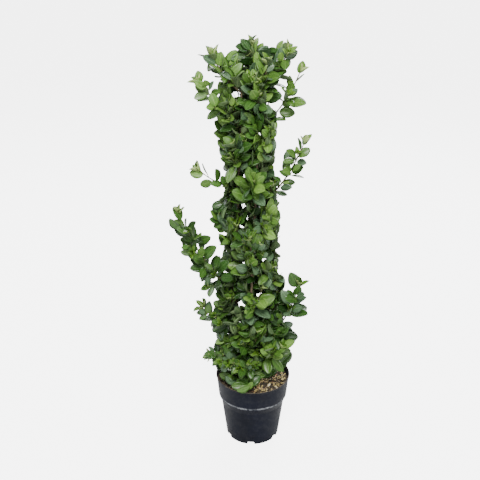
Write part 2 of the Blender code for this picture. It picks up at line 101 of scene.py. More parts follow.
def bentPath(start, turn, end, count):
    # quadratic curve: start (1-t)^2 + turn 2t(1-t) + end t^2
    t = np.linspace(0, 1, count)[:, None]
    return start * (1 - t) ** 2 + turn * (2 * t * (1 - t)) + end * t**2


def gridFaces(rows, columns, closed):
    # quads between the points of a grid; closed joins the last column to the first
    row, column = np.meshgrid(
        np.arange(rows - 1), np.arange(columns - (not closed)), indexing="ij"
    )
    a = (row * columns + column).ravel()
    b = (row * columns + (column + 1) % columns).ravel()
    return np.stack([a, b, b + columns, a + columns], axis=1)


def fan(first, count, centre, turned):
    # triangles from a ring of points to the point in its middle
    a = first + np.arange(count)
    b = first + (np.arange(count) + 1) % count
    return np.stack([b, a, np.full(count, centre)] if turned else [a, b, np.full(count, centre)], axis=1)


def closedFaces(rows, steps):
    # the faces of rings of points, and of a fan to a pole at each end. The poles come last.
    last = rows * steps
    return [
        gridFaces(rows, steps, True),
        np.concatenate([fan(0, steps, last, True), fan(last - steps, steps, last + 1, False)]),
    ]


def ringAngles(count):
    return np.arange(count) * 2 * math.pi / count


def around(radius, angle, height):
    # (radius cos angle, radius sin angle, height)
    return np.stack(np.broadcast_arrays(radius * np.cos(angle), radius * np.sin(angle), height), axis=-1)


def spun(x, y, angles):
    # x and y of many shapes, each turned about Z by its own angle
    cosine, sine = np.cos(angles)[:, None], np.sin(angles)[:, None]
    return x * cosine - y * sine, x * sine + y * cosine


def repeated(faces, size, many):
    # the faces of one shape, repeated for many shapes of the same size
    return (faces[None] + (np.arange(many) * size)[:, None, None]).reshape(-1, faces.shape[1])


def addObject(name, data):
    thing = bpy.data.objects.new(name, data)
    bpy.context.scene.collection.objects.link(thing)
    return thing


def makePiece(name, points, faces, materials, nodes, uv=None, shade=None, faceSlots=None):
    # one object at the origin from arrays of points and of faces, riding on the root
    mesh = bpy.data.meshes.new(name)
    mesh.from_pydata(points.tolist(), [], [face for group in faces for face in group.tolist()])
    for material in materials:
        mesh.materials.append(material)
    mesh.shade_smooth()
    if uv is not None:
        corners = np.concatenate([group.ravel() for group in faces])
        layer = mesh.uv_layers.new(name="surface")
        layer.uv.foreach_set("vector", uv[corners].astype(np.float32).ravel())
    if shade is not None:
        attribute = mesh.attributes.new("shade", "FLOAT", "POINT")
        attribute.data.foreach_set("value", shade.astype(np.float32).ravel())
    if faceSlots is not None:
        mesh.polygons.foreach_set("material_index", faceSlots.astype(np.int32))
    mesh.update()
    return dress(addObject(name, mesh), nodes)


def dress(piece, nodes):
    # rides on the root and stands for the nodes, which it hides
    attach(piece, "root")
    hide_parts(*nodes)
    print(f"made {piece.name}: {len(piece.data.polygons)} faces")
    return piece


def tubes(paths, radii, sides):
    # round tubes along many paths at once. Each path point carries a ring:
    # path + radius * (across cos angle + third sin angle). A fan closes each end.
    many, rings, _ = paths.shape
    along = unit(np.gradient(paths, axis=1))
    steep = np.abs(along[:, :, 2].mean(axis=1)) > 0.9
    guide = np.where(steep[:, None], [1.0, 0.0, 0.0], [0.0, 0.0, 1.0])[:, None]
    across = unit(np.cross(np.broadcast_to(guide, along.shape), along))
    third = np.cross(along, across)
    angle = ringAngles(sides)
    if radii.ndim == 2:
        radii = np.repeat(radii[:, :, None], sides, axis=2)
    ring = across[:, :, None] * np.cos(angle)[:, None] + third[:, :, None] * np.sin(angle)[:, None]
    ring = paths[:, :, None] + ring * radii[..., None]
    points = np.concatenate([ring.reshape(many, -1, 3), paths[:, :1], paths[:, -1:]], axis=1)
    faces = [repeated(group, rings * sides + 2, many) for group in closedFaces(rings, sides)]
    return points.reshape(-1, 3), faces


def waves(round_, along, seed, turns, lengths, count=14):
    # sum of sine waves with random phase over an angle and a length, about -1 to 1.
    # turns is the range of waves round the piece, lengths the range of wavelengths along it.
    dice = np.random.default_rng(seed)
    total = np.zeros(np.broadcast(round_, along).shape)
    for _ in range(count):
        times = dice.integers(turns[0], turns[1] + 1) * dice.choice([-1, 1])
        pace = 2 * math.pi / dice.uniform(*lengths)
        total += np.sin(times * round_ + pace * along + dice.uniform(0, 2 * math.pi))
    return total / math.sqrt(count)


# Shader building

def newGroup(name, inputs, outputs):
    # an empty node group with named sockets: colours, vectors and plain numbers
    group = bpy.data.node_groups.new(name, "ShaderNodeTree")
    for direction, sockets in (("INPUT", inputs), ("OUTPUT", outputs)):
        for label, kind in sockets.items():
            group.interface.new_socket(label, in_out=direction, socket_type="NodeSocket" + kind)
    return group, group.nodes.new("NodeGroupInput"), group.nodes.new("NodeGroupOutput")


def wire(value, socket):
    # links a socket, or sets a colour with its fourth number, or a plain number
    if isinstance(value, bpy.types.NodeSocket):
        socket.id_data.links.new(value, socket)
    else:
        socket.default_value = (*value, 1.0) if isinstance(value, tuple) else value


def newNode(tree, kind, **values):
    node = tree.nodes.new("ShaderNode" + kind)
    for label, value in values.items():
        wire(value, node.inputs[label.replace("_", " ")])
    return node


def mathNode(operation, first, second=0.0, clamp=False):
    node = newNode(first.id_data, "Math")
    node.operation = operation
    node.use_clamp = clamp
    wire(first, node.inputs[0])
    wire(second, node.inputs[1])
    return node.outputs[0]


def times(first, second, clamp=False):
    return mathNode("MULTIPLY", first, second, clamp)


def plus(first, second, clamp=False):
    return mathNode("ADD", first, second, clamp)


def minus(first, second):
    return mathNode("SUBTRACT", first, second)


def apart(first, second):
    # |first - second|
    return mathNode("ABSOLUTE", minus(first, second))


def rangeNode(value, low, high, to=(0.0, 1.0)):
    # smooth step of value from low..high to the two values of to
    node = newNode(
        value.id_data, "MapRange", Value=value, From_Min=low, From_Max=high, To_Min=to[0], To_Max=to[1]
    )
    node.interpolation_type = "SMOOTHSTEP"
    return node.outputs["Result"]


def mixNode(share, first, second):
    # share of the second colour over the first
    node = newNode(share.id_data, "Mix")
    node.data_type = "RGBA"
    for index, value in ((0, share), (6, first), (7, second)):
        wire(value, node.inputs[index])
    return node.outputs[2]


def noiseNode(vector, scale, detail=3.0, roughness=0.55, distortion=0.0):
    return newNode(
        vector.id_data, "TexNoise",
        Vector=vector, Scale=scale, Detail=detail, Roughness=roughness, Distortion=distortion,
    ).outputs["Fac"]


def stretched(vector, scale):
    node = newNode(vector.id_data, "Mapping", Vector=vector)
    node.inputs["Scale"].default_value = scale
    return node.outputs["Vector"]


def newMaterial(name, roughness, **values):
    # a Principled BSDF with its constant numbers set on its own sockets
    material = bpy.data.materials.new(name)
    material.use_nodes = True
    shader = material.node_tree.nodes["Principled BSDF"]
    for label, value in {"Roughness": roughness, **values}.items():
        wire(value, shader.inputs[label.replace("_", " ")])
    return material, material.node_tree, shader


def placeGroup(tree, group, **values):
    node = newNode(tree, "Group")
    node.node_tree = group
    for label, value in values.items():
        wire(value, node.inputs[label])
    return node


def addBump(shader, height, distance):
    bump = newNode(shader.id_data, "Bump", Distance=distance, Height=height)
    wire(bump.outputs["Normal"], shader.inputs["Normal"])


def finishFrom(shader, node, bumpDistance):
    # the group's colour, roughness and height drive the shader
    wire(node.outputs["Colour"], shader.inputs["Base Color"])
    wire(node.outputs["Roughness"], shader.inputs["Roughness"])
    addBump(shader, node.outputs["Height"], bumpDistance)


def objectPlace(tree):
    return newNode(tree, "TexCoord").outputs["Object"]


finishOutputs = {"Colour": "Color", "Roughness": "Float", "Height": "Float"}


def grainGroup():
    # bark, wood and twigs: long streaks with small pores
    group, given, made = newGroup(
        "grain",
        {"Place": "Vector", "Dark": "Color", "Light": "Color", "Streaks": "Float", "Pores": "Float"},
        finishOutputs,
    )
    place = given.outputs["Place"]
    streak = noiseNode(place, 1.0, 5.0, 0.6, 0.4)
    patch = noiseNode(stretched(place, (0.2, 0.2, 0.5)), 1.0, 2.0)
    pore = noiseNode(stretched(place, (1.6, 1.6, 4.0)), 2.4, 1.0)
    share = rangeNode(streak, 0.35, 0.65)
    share = times(share, given.outputs["Streaks"])
    share = plus(share, rangeNode(patch, 0.4, 0.65, (0.0, 0.35)), True)
    pores = times(rangeNode(pore, 0.66, 0.74), given.outputs["Pores"])
    colour = mixNode(share, given.outputs["Dark"], given.outputs["Light"])
    colour = mixNode(pores, colour, (0.42, 0.33, 0.22))
    wire(colour, made.inputs["Colour"])
    wire(rangeNode(streak, 0.2, 0.8, (0.72, 0.92)), made.inputs["Roughness"])
    height = plus(streak, times(pores, 0.4))
    wire(height, made.inputs["Height"])
    return group


def leafGroup():
    # a blade from its own map: U across and V along, with midrib, side veins and mottling
    group, given, made = newGroup(
        "leafSurface",
        {
            "Map": "Vector", "Place": "Vector", "Shade": "Float",
            "Blade": "Color", "Bright": "Color", "Vein": "Color",
            "Gloss": "Float",
        },
        finishOutputs,
    )
    split = newNode(group, "SeparateXYZ", Vector=given.outputs["Map"])
    across, along = split.outputs["X"], split.outputs["Y"]
    side = apart(across, 0.5)
    midrib = rangeNode(side, 0.012, 0.05, (1.0, 0.0))
    # side veins run forwards: along * 6.5 - side * 3.4, one vein at each whole number
    phase = minus(times(along, 6.5), times(side, 3.4))
    wobble = times(noiseNode(given.outputs["Place"], 90.0, 1.0), 0.25)
    phase = mathNode("FRACT", plus(phase, wobble))
    offset = apart(phase, 0.5)
    veins = times(rangeNode(offset, 0.40, 0.49), rangeNode(side, 0.49, 0.40))
    mottle = noiseNode(given.outputs["Place"], 160.0, 3.0, 0.6)
    tint = plus(rangeNode(mottle, 0.35, 0.7, (0.0, 0.45)), -0.1)
    tint = plus(tint, times(given.outputs["Shade"], 0.75), True)
    colour = mixNode(tint, given.outputs["Blade"], given.outputs["Bright"])
    ribs = mathNode("MAXIMUM", midrib, times(veins, 0.45))
    colour = mixNode(times(ribs, 0.7), colour, given.outputs["Vein"])
    wire(colour, made.inputs["Colour"])
    rough = plus(given.outputs["Gloss"], rangeNode(mottle, 0.3, 0.7, (-0.04, 0.08)))
    wire(rough, made.inputs["Roughness"])
    height = times(ribs, -1.0)
    height = plus(height, times(mottle, 0.5))
    wire(height, made.inputs["Height"])
    return group


grain = grainGroup()
leafSurface = leafGroup()


# Camera, floor and light

photoCamera = {
    "place": (0.0, -2.0, 1.519),
    "lookDown": 24.86,  # degrees below level
    "lookLeft": 1.013,  # degrees towards -X
    "lens": 64.39,  # mm
    "sensor": 36,  # mm across
    "picture": 480,  # pixels across and down
}

studio = {
    "world": ((0.95, 0.98, 1.0), 0.40),
    "floor": (0.55, 0.55, 0.55),
    "floorGlow": 5.0,
    "floorSize": 60.0,
    "lamps": {  # place, aim, size, watts, colour
        "keyLamp": ((-0.1, -1.9, 3.0), (0, 0, 0.6), 1.1, 158, (1.0, 0.99, 0.97)),
        "frontLamp": ((1.5, -2.4, 1.5), (0, 0, 0.6), 1.4, 36, (0.97, 0.98, 1.0)),
        "backLamp": ((0.6, 2.1, 2.4), (0, 0, 0.7), 1.3, 125, (0.96, 0.98, 1.0)),
        "sideLamp": ((-2.0, 1.3, 1.9), (0, 0, 0.7), 1.3, 40, (0.96, 0.98, 1.0)),
    },
}


def setCamera():
    data = bpy.data.cameras.new("photoCamera")
    data.lens = photoCamera["lens"]
    data.sensor_width = photoCamera["sensor"]
    camera = addObject("photoCamera", data)
    camera.location = photoCamera["place"]
    camera.rotation_euler = (
        math.radians(90 - photoCamera["lookDown"]), 0, math.radians(photoCamera["lookLeft"])
    )
    bpy.context.scene.camera = camera


def aimed(place, aim):
    # rotation that turns a lamp's -Z from its place to what it lights
    return (Vector(aim) - Vector(place)).to_track_quat("-Z", "Y").to_euler()


def setStudio():
    world = bpy.data.worlds.new("studioSky")
    world.use_nodes = True
    colour, strength = studio["world"]
    sky = world.node_tree
    sky.nodes["Background"].inputs["Color"].default_value = (*colour, 1)
    seen = newNode(sky, "LightPath").outputs["Is Camera Ray"]
    glow = times(seen, studio["floorGlow"])
    glow = plus(glow, strength)
    wire(glow, sky.nodes["Background"].inputs["Strength"])
    bpy.context.scene.world = world
    for name, (place, aim, size, watts, colour) in studio["lamps"].items():
        data = bpy.data.lights.new(name, "AREA")
        data.size = size
        data.energy = watts
        data.color = colour
        lamp = addObject(name, data)
        lamp.location = place
        lamp.rotation_euler = aimed(place, aim)
    half = studio["floorSize"] / 2
    mesh = bpy.data.meshes.new("floor")
    corners = [(-half, -half, 0), (half, -half, 0), (half, half, 0), (-half, half, 0)]
    mesh.from_pydata(corners, [], [(0, 1, 2, 3)])
    material, tree, shader = newMaterial("paleFloor", 0.8)
    shader.inputs["Base Color"].default_value = (*studio["floor"], 1)
    # the camera sees a brighter floor than the plant is lit by
    seen = newNode(tree, "LightPath").outputs["Is Camera Ray"]
    shader.inputs["Emission Color"].default_value = (1, 1, 1, 1)
    glow = times(seen, studio["floorGlow"])
    wire(glow, shader.inputs["Emission Strength"])
    mesh.materials.append(material)
    addObject("floor", mesh)


print("setting up camera, floor and light")
setCamera()
setStudio()


# Pot: a turned shell with six notches under its foot

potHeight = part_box("pot")[1].z
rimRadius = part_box("pot")[1].x

pot = {
    "collarFoot": (0.0938, 0.1280),  # radius and height
    "neck": (0.0864, 0.1100),
    "footRadius": 0.0724,
    "wall": 0.0020,
    "floorThickness": 0.0022,
    "footRing": (0.052, 0.0105),
    "rounding": 0.0016,
    "notches": 6,
    "firstNotch": -93,
    "notchInner": 0.0585,
    "notchHeight": 0.0082,
    "notchWidths": (0.022, 0.017),
    "steps": 144,
}


def innerWall():
    # radius and height of the inside, from the lip down to the middle of the floor
    wall = pot["wall"]
    ringRadius, ringHeight = pot["footRing"]
    return [
        (rimRadius - wall - 0.0010, potHeight - 0.0006),
        (pot["collarFoot"][0] - wall, pot["collarFoot"][1] + 0.0012),
        (pot["neck"][0] - wall, pot["neck"][1] + 0.0006),
        (pot["footRadius"] - wall - 0.0010, ringHeight),
        (ringRadius, ringHeight),
        (ringRadius - 0.0015, pot["floorThickness"]),
        (0.0, pot["floorThickness"]),
    ]


def rounded(profile, radius, count=5):
    # every corner becomes a short quadratic curve that starts and ends radius away from it
    profile = np.array(profile)
    corners, before, after = profile[1:-1], profile[:-2], profile[2:]

    def towards(other):
        way = other - corners
        length = np.linalg.norm(way, axis=1, keepdims=True)
        return corners + way / length * np.minimum(radius, length * 0.45)

    start, end = towards(before), towards(after)
    t = np.linspace(0, 1, count)[None, :, None]
    arcs = start[:, None] * (1 - t) ** 2 + corners[:, None] * 2 * t * (1 - t) + end[:, None] * t**2
    return np.concatenate([profile[:1], arcs.reshape(-1, 2), profile[-1:]])


def turned(profile, steps):
    # a profile from the axis, round the outside and back to it, carried round the Z axis:
    # point = (radius cos angle, radius sin angle, height), with a fan at each pole
    radius, height = profile[1:-1, 0], profile[1:-1, 1]
    ring = around(radius[:, None], ringAngles(steps), height[:, None]).reshape(-1, 3)
    poles = np.array([(0, 0, profile[0, 1]), (0, 0, profile[-1, 1])])
    return np.concatenate([ring, poles]), closedFaces(len(radius), steps)


def notchCutters():
    # one mesh of six wedges, wider below, that cut the notches
    low, high = (width / 2 for width in pot["notchWidths"])
    inner, outer = pot["notchInner"], pot["footRadius"] + 0.010
    wedge = np.array([
        (r, side * half, z)
        for r in (inner, outer)
        for half, z in ((low, -0.004), (high, pot["notchHeight"]))
        for side in (-1, 1)
    ])
    faces = np.array([(0, 2, 3, 1), (4, 5, 7, 6), (0, 1, 5, 4), (2, 6, 7, 3), (0, 4, 6, 2), (1, 3, 7, 5)])
    angle = np.radians(pot["firstNotch"] + np.arange(pot["notches"]) * 360 / pot["notches"])
    x, y = spun(wedge[:, 0], wedge[:, 1], angle)
    z = np.repeat(wedge[None, :, 2], len(angle), axis=0)
    mesh = bpy.data.meshes.new("notchCutters")
    points = np.stack([x, y, z], axis=-1).reshape(-1, 3)
    mesh.from_pydata(points.tolist(), [], repeated(faces, len(wedge), len(angle)).tolist())
    return addObject("notchCutters", mesh)


def plasticMaterial():
    # black moulded plastic with a bluish sheen, dust, and a pale scuffed line under the collar
    material, tree, shader = newMaterial("blackPlastic", 0.5, Specular_IOR_Level=0.15)
    place = objectPlace(tree)
    split = newNode(tree, "SeparateXYZ", Vector=place)
    height = split.outputs["Z"]
    cloudy = noiseNode(place, 14.0, 4.0, 0.6)
    fine = noiseNode(place, 420.0, 3.0, 0.6)
    colour = mixNode(rangeNode(cloudy, 0.3, 0.7), (0.0025, 0.0033, 0.0082), (0.0052, 0.0068, 0.0150))
    # a thin film of dust, in patches
    dust = times(rangeNode(noiseNode(place, 60.0, 5.0, 0.7), 0.45, 0.75), 0.04)
    colour = mixNode(dust, colour, (0.25, 0.24, 0.23))
    # the scuff: a band at the collar's foot, broken by noise, strongest at the front
    wander = minus(noiseNode(place, 34.0, 4.0, 0.6), 0.5)
    wander = times(wander, 0.007)
    level = plus(height, wander)
    level = apart(level, pot["collarFoot"][1] + 0.0034)
    band = rangeNode(level, 0.0008, 0.0040, (1.0, 0.0))
    patches = rangeNode(noiseNode(place, 60.0, 5.0, 0.8), 0.38, 0.62)
    scuff = times(band, patches)
    fade = rangeNode(split.outputs["Y"], 0.02, -0.06, (0.25, 1.0))
    scuff = times(scuff, fade, True)
    colour = mixNode(scuff, colour, (0.26, 0.27, 0.29))
    # worn lip
    lip = rangeNode(height, potHeight - 0.0022, potHeight - 0.0004)
    worn = times(lip, rangeNode(noiseNode(place, 70.0, 3.0), 0.3, 0.7, (0.15, 0.5)))
    colour = mixNode(worn, colour, (0.20, 0.155, 0.105))
    wire(colour, shader.inputs["Base Color"])
    rough = plus(rangeNode(cloudy, 0.3, 0.7, (0.40, 0.56)), times(scuff, 0.25))
    wire(rough, shader.inputs["Roughness"])
    addBump(shader, plus(fine, times(scuff, 0.6)), 0.0002)
    return material


def makePot():
    foot, (neckRadius, neckHeight) = pot["footRadius"], pot["neck"]
    collarRadius, collarHeight = pot["collarFoot"]
    outside = [
        (0.0, 0.0),
        (foot - 0.0004, 0.0),
        (foot, 0.0012),
        (foot + (neckRadius - foot) * 0.5, neckHeight * 0.5),
        (neckRadius, neckHeight),
        (neckRadius + (collarRadius - neckRadius) * 0.45, neckHeight + (collarHeight - neckHeight) * 0.5),
        (collarRadius - 0.0012, collarHeight - 0.0026),
        (collarRadius, collarHeight),
        (rimRadius - 0.0016, potHeight - 0.0056),
        (rimRadius, potHeight - 0.0044),
        (rimRadius, potHeight),
    ]
    profile = rounded(outside + innerWall(), pot["rounding"])
    points, faces = turned(profile, pot["steps"])
    piece = makePiece("nurseryPot", points, faces, [plasticMaterial()], ["pot"])
    cutter = notchCutters()
    cut = piece.modifiers.new("notches", "BOOLEAN")
    cut.operation = "DIFFERENCE"
    cut.object = cutter
    cut.solver = "EXACT"
    bpy.context.view_layer.update()
    mesh = bpy.data.meshes.new_from_object(piece.evaluated_get(bpy.context.evaluated_depsgraph_get()))
    piece.modifiers.clear()
    piece.data = mesh
    bpy.data.objects.remove(cutter)
    mesh.shade_smooth()
    mesh.set_sharp_from_angle(angle=math.radians(38))


print("turning the pot")
makePot()


# Soil: a rough bed of dark mix with wood chips, crumbs and straws on it

soil = {
    "edgeHeight": 0.1750,
    "slope": (0.065, 0.1785),  # radius and height
    "middleHeight": 0.1800,
    "flatRadius": 0.025,
    "relief": 0.0012,
    "rows": 60,
    "steps": 160,
    "chips": 620,
    "crumbs": 900,
    "straws": 90,
    "bareMiddle": 0.014,  # radius that the trunk takes
}


def soilEdge():
    # radius of the inner wall at the soil's edge
    (topRadius, topHeight), (lowRadius, lowHeight) = innerWall()[:2]
    share = (topHeight - soil["edgeHeight"]) / (topHeight - lowHeight)
    return topRadius + (lowRadius - topRadius) * share - 0.0004


def soilTop(radius):
    # height of the bed over a radius, before its relief
    slopeRadius, slopeHeight = soil["slope"]
    places = [0, soil["flatRadius"], slopeRadius, soilEdge()]
    return np.interp(radius, places, [soil["middleHeight"]] * 2 + [slopeHeight, soil["edgeHeight"]])


def mixMaterial():
    material, tree, shader = newMaterial("pottingMix", 0.95)
    place = objectPlace(tree)
    lumps = noiseNode(place, 260.0, 5.0, 0.7)
    stains = noiseNode(place, 30.0, 3.0)
    colour = mixNode(rangeNode(lumps, 0.35, 0.7), (0.010, 0.007, 0.004), (0.075, 0.052, 0.028))
    colour = mixNode(rangeNode(stains, 0.45, 0.65, (0.0, 0.6)), colour, (0.022, 0.016, 0.009))
    wire(colour, shader.inputs["Base Color"])
    addBump(shader, lumps, 0.0016)
    return material


def makeBed():
    # rings of points over the bed, closed down the wall and under the mix
    edge, steps = soilEdge(), soil["steps"]
    radius = edge * np.linspace(0, 1, soil["rows"])[1:, None] ** 0.8
    angle = ringAngles(steps)
    x, y = radius * np.cos(angle), radius * np.sin(angle)
    dice = np.random.default_rng(5)
    relief = np.zeros(x.shape)
    for _ in range(40):
        way, pace = dice.uniform(0, math.pi), 2 * math.pi / dice.uniform(0.004, 0.03)
        relief += np.sin(pace * (x * math.cos(way) + y * math.sin(way)) + dice.uniform(0, 6.3))
    relief *= soil["relief"] / math.sqrt(40) * smooth((edge - radius) / 0.01 + 0.3)
    top = np.stack([x, y, soilTop(radius) + relief], axis=-1)
    lower = [(r - 0.0004, z + 0.0004 * (z < 0.05)) for r, z in innerWall()[1:-1]]
    below = np.array([around(r, angle, z) for r, z in lower])
    rings = np.concatenate([top, below])[::-1]
    poles = np.array([(0, 0, lower[-1][1]), (0, 0, soil["middleHeight"])])
    points = np.concatenate([rings.reshape(-1, 3), poles])
    makePiece("pottingMix", points, closedFaces(len(rings), steps), [mixMaterial()], ["soil"])


def scattered(dice, many, reach):
    # even spread over the bed, clear of the trunk and, by reach, of the wall
    inner, outer = soil["bareMiddle"] + reach, soilEdge() - reach
    radius = np.sqrt(dice.uniform(inner**2, outer**2, many))
    return radius, dice.uniform(0, 2 * math.pi, many)


def tumbled(dice, local, radius, angle, lift, tilt):
    # turns each shape about Z at random, tips it by up to tilt and sets it on the bed
    many = len(radius)
    spin = dice.uniform(0, 6.3, many)
    tip, way = dice.uniform(-tilt, tilt, many), dice.uniform(-tilt, tilt, many)
    x, y = spun(local[..., 0], local[..., 1], spin)
    z = local[..., 2] + x * np.tan(tip)[:, None] + y * np.tan(way)[:, None]
    centre = around(radius, angle, soilTop(radius) + lift)
    return np.stack([x, y, z], axis=-1) + centre[:, None]


def chipShapes(dice, lengths):
    # irregular six-sided plates: a ring of corners above and one below, each jittered
    many = len(lengths)
    angle = np.arange(6) * math.pi / 3 + dice.uniform(-0.3, 0.3, (many, 6))
    reach = dice.uniform(0.75, 1.15, (many, 6)) / 2
    x = np.cos(angle) * reach * lengths[:, None]
    y = np.sin(angle) * reach * (lengths * dice.uniform(0.25, 0.6, many))[:, None]
    thick = dice.uniform(0.0007, 0.0020, many)[:, None]
    warp = dice.uniform(-0.0006, 0.0006, (many, 6))
    top = np.stack([x, y, thick / 2 + warp], axis=-1)
    below = np.stack([x * 0.92, y * 0.92, warp - thick / 2], axis=-1)
    return np.concatenate([below, top], axis=1)


def chipFaces(many):
    return [
        repeated(gridFaces(2, 6, True), 12, many),
        repeated(np.array([(5, 4, 3, 2, 1, 0), (6, 7, 8, 9, 10, 11)]), 12, many),
    ]


chipWoods = {  # dark, light
    "goldChips": ((0.175, 0.125, 0.045), (0.47, 0.375, 0.15)),
    "creamChips": ((0.42, 0.34, 0.20), (0.76, 0.68, 0.44)),
    "redChips": ((0.13, 0.055, 0.035), (0.36, 0.17, 0.10)),
    # dark chips, which also paint the shadow on the bed's left
    "brownChipsAndPaintedShade": ((0.020, 0.014, 0.008), (0.085, 0.055, 0.028)),
}


def woodMaterial(name, dark, light):
    material, tree, shader = newMaterial(name, 0.85)
    place = stretched(objectPlace(tree), (420.0, 160.0, 420.0))
    node = placeGroup(tree, grain, Place=place, Dark=dark, Light=light, Streaks=0.9, Pores=0.0)
    finishFrom(shader, node, 0.0003)
    return material


def makeChips():
    # the wood of a chip follows where it lies: gold and cream to the right, red front left, and dark brown
    # to the left, where the dark chips are painted shadow
    dice = np.random.default_rng(11)
    many = soil["chips"]
    lengths = dice.uniform(0.0045, 0.012, many) * dice.choice([1.0, 1.0, 1.0, 1.4], many)
    radius, angle = scattered(dice, many, lengths / 2)
    x, y = radius * np.cos(angle), radius * np.sin(angle)
    shapes = tumbled(dice, chipShapes(dice, lengths), radius, angle, dice.uniform(0.0, 0.0028, many), 0.45)
    # the share of pale chips falls off to the left and back, so the dark chips there paint shadow
    gold = smooth((x + 0.060 + 0.6 * np.clip(-y - 0.05, 0, 1)) / 0.07) * 0.80 + 0.10
    red = np.exp(-((x + 0.025) ** 2 + (y + 0.075) ** 2) / 0.03**2) * 0.6
    draw = dice.uniform(0, 1, many)
    kinds = np.where(draw < gold * 0.84, 0, np.where(draw < gold, 1, 3))
    kinds = np.where(dice.uniform(0, 1, many) < red + 0.06, 2, kinds)
    for kind, (name, (dark, light)) in enumerate(chipWoods.items()):
        chosen = shapes[kinds == kind]
        points, faces = chosen.reshape(-1, 3), chipFaces(len(chosen))
        material = woodMaterial(name, dark, light)
        makePiece(name, points, faces, [material], ["soil"]).data.shade_flat()


def makeCrumbs():
    # small lumps of the mix: eight-faced stones with jittered corners
    dice = np.random.default_rng(23)
    many = soil["crumbs"]
    size = dice.uniform(0.0008, 0.0030, many)
    corners = np.array([(1, 0, 0), (0, 1, 0), (-1, 0, 0), (0, -1, 0), (0, 0, 0.8), (0, 0, -0.8)])
    local = corners * dice.uniform(0.6, 1.2, (many, 6, 1)) * size[:, None, None]
    radius, angle = scattered(dice, many, size)
    points = tumbled(dice, local, radius, angle, dice.uniform(0, 0.002, many), 0.8)
    faces = [repeated(np.concatenate([fan(0, 4, 4, False), fan(0, 4, 5, True)]), 6, many)]
    material = woodMaterial("crumbs", (0.014, 0.010, 0.006), (0.08, 0.055, 0.03))
    makePiece("mixCrumbs", points.reshape(-1, 3), faces, [material], ["soil"]).data.shade_flat()


def makeStraws():
    # thin dry fibres that lie across the chips
    dice = np.random.default_rng(31)
    many = soil["straws"]
    length = dice.uniform(0.006, 0.018, many)
    radius, angle = scattered(dice, many, length / 2)
    t = np.linspace(-0.5, 0.5, 4)
    arch = 1 - 4 * t**2
    bow = dice.uniform(-0.15, 0.15, many)[:, None] * arch
    local = np.broadcast_arrays(t * length[:, None], bow * length[:, None], 0.0015 * arch)
    paths = tumbled(dice, np.stack(local, axis=-1), radius, angle, 0.0022, 0.12)
    points, faces = tubes(paths, np.full((many, 4), 0.00045), 4)
    material = woodMaterial("straw", (0.38, 0.26, 0.13), (0.72, 0.56, 0.34))
    makePiece("dryStraws", points, faces, [material], ["soil"])


print("filling the pot")
makeBed()
makeChips()
makeCrumbs()
makeStraws()


# The limbs' paths, by the rule that the solids were grown by

column = {
    "forkHeight": 0.212,
    "seat": 0.0066,  # from the trunk's axis to a leader's foot
    "ringLow": 0.045,
    "ringHigh": 0.030,
    "ringFullHeight": 0.330,
    "twist": 85,  # degrees per metre
    "top": 1.000,
    "lean": -0.012,
    "leaderRadii": (0.0040, 0.0018),
}

leaders = {  # bearing at mid height, height of the tip
    "left": (198, 0.985),
    "front": (278, 0.965),
    "right": (355, 0.990),
    "back": (98, 1.000),
}


def columnAxis(height):
    share = np.maximum(0, (height - column["ringFullHeight"]) / (column["top"] - column["ringFullHeight"]))
    return np.stack([column["lean"] * share, 0 * height, height], axis=-1)


def leaderBearing(name, height):
    return leaders[name][0] + column["twist"] * (height - (column["forkHeight"] + column["top"]) / 2)


def leaderPoint(name, height):
    # out from the fork to its ring, then slowly inwards while the ring turns
    height = np.asarray(height, float)
    out = smooth((height - column["forkHeight"]) / (column["ringFullHeight"] - column["forkHeight"]))
    share = np.maximum(0, (height - column["ringFullHeight"]) / (column["top"] - column["ringFullHeight"]))
    ring = column["ringLow"] + (column["ringHigh"] - column["ringLow"]) * share
    radius = column["seat"] + (ring - column["seat"]) * out
    angle = np.radians(leaderBearing(name, height))
    way = np.stack([np.cos(angle), np.sin(angle), 0 * height], axis=-1)
    return columnAxis(height) + way * radius[..., None]


def barkMaterial(name, dark, light, pores):
    material, tree, shader = newMaterial(name, 0.8)
    place = stretched(objectPlace(tree), (520.0, 520.0, 90.0))
    node = placeGroup(tree, grain, Place=place, Dark=dark, Light=light, Streaks=1.0, Pores=pores)
    finishFrom(shader, node, 0.0004)
    return material


trunk = {
    "outline": [(0.00, 0.0125), (0.12, 0.0108), (0.35, 0.0090), (0.70, 0.0090), (1.00, 0.0112)],
    "rings": 44,
    "sides": 48,
    "lobes": 0.07,  # share of the radius
    "footLobes": (5, 1.0),  # how many, and their phase in radians
    "forkLobes": (4, 0.6),
    "furrows": 0.035,
    "furrowTurns": (5, 15),
    "furrowLengths": (0.012, 0.06),
    "sunk": 0.004,  # into the soil
    "raised": 0.0015,  # above the fork
    "topShare": 0.72,  # a rounded top between the leaders
}


def makeTrunk():
    # radius = outline * (1 + lobes at the foot and under the fork + fine furrows)
    low, high = soil["middleHeight"] - trunk["sunk"], column["forkHeight"] + trunk["raised"]
    height = np.linspace(low, high, trunk["rings"])
    share = (height - soil["middleHeight"]) / (column["forkHeight"] - soil["middleHeight"])
    outline = np.array(trunk["outline"])
    radius = np.interp(share, outline[:, 0], outline[:, 1])
    radius[-1] *= trunk["topShare"]
    angle = ringAngles(trunk["sides"])
    lobes = 0
    for kind, fade in (("footLobes", 1 - share * 3), ("forkLobes", share * 2 - 1)):
        many, first = trunk[kind]
        lobes = lobes + np.cos(many * angle + first) * np.clip(fade, 0, 1)[:, None]
    furrows = waves(angle[None], height[:, None], 3, trunk["furrowTurns"], trunk["furrowLengths"])
    radii = radius[:, None] * (1 + trunk["lobes"] * lobes + trunk["furrows"] * furrows)
    path = np.stack([0 * height, 0 * height, height], axis=-1)
    points, faces = tubes(path[None], radii[None], trunk["sides"])
    material = barkMaterial("oldBark", (0.05, 0.034, 0.021), (0.20, 0.145, 0.09), 0.8)
    makePiece("ceanothusTrunk", points, faces, [material], ["trunk"])


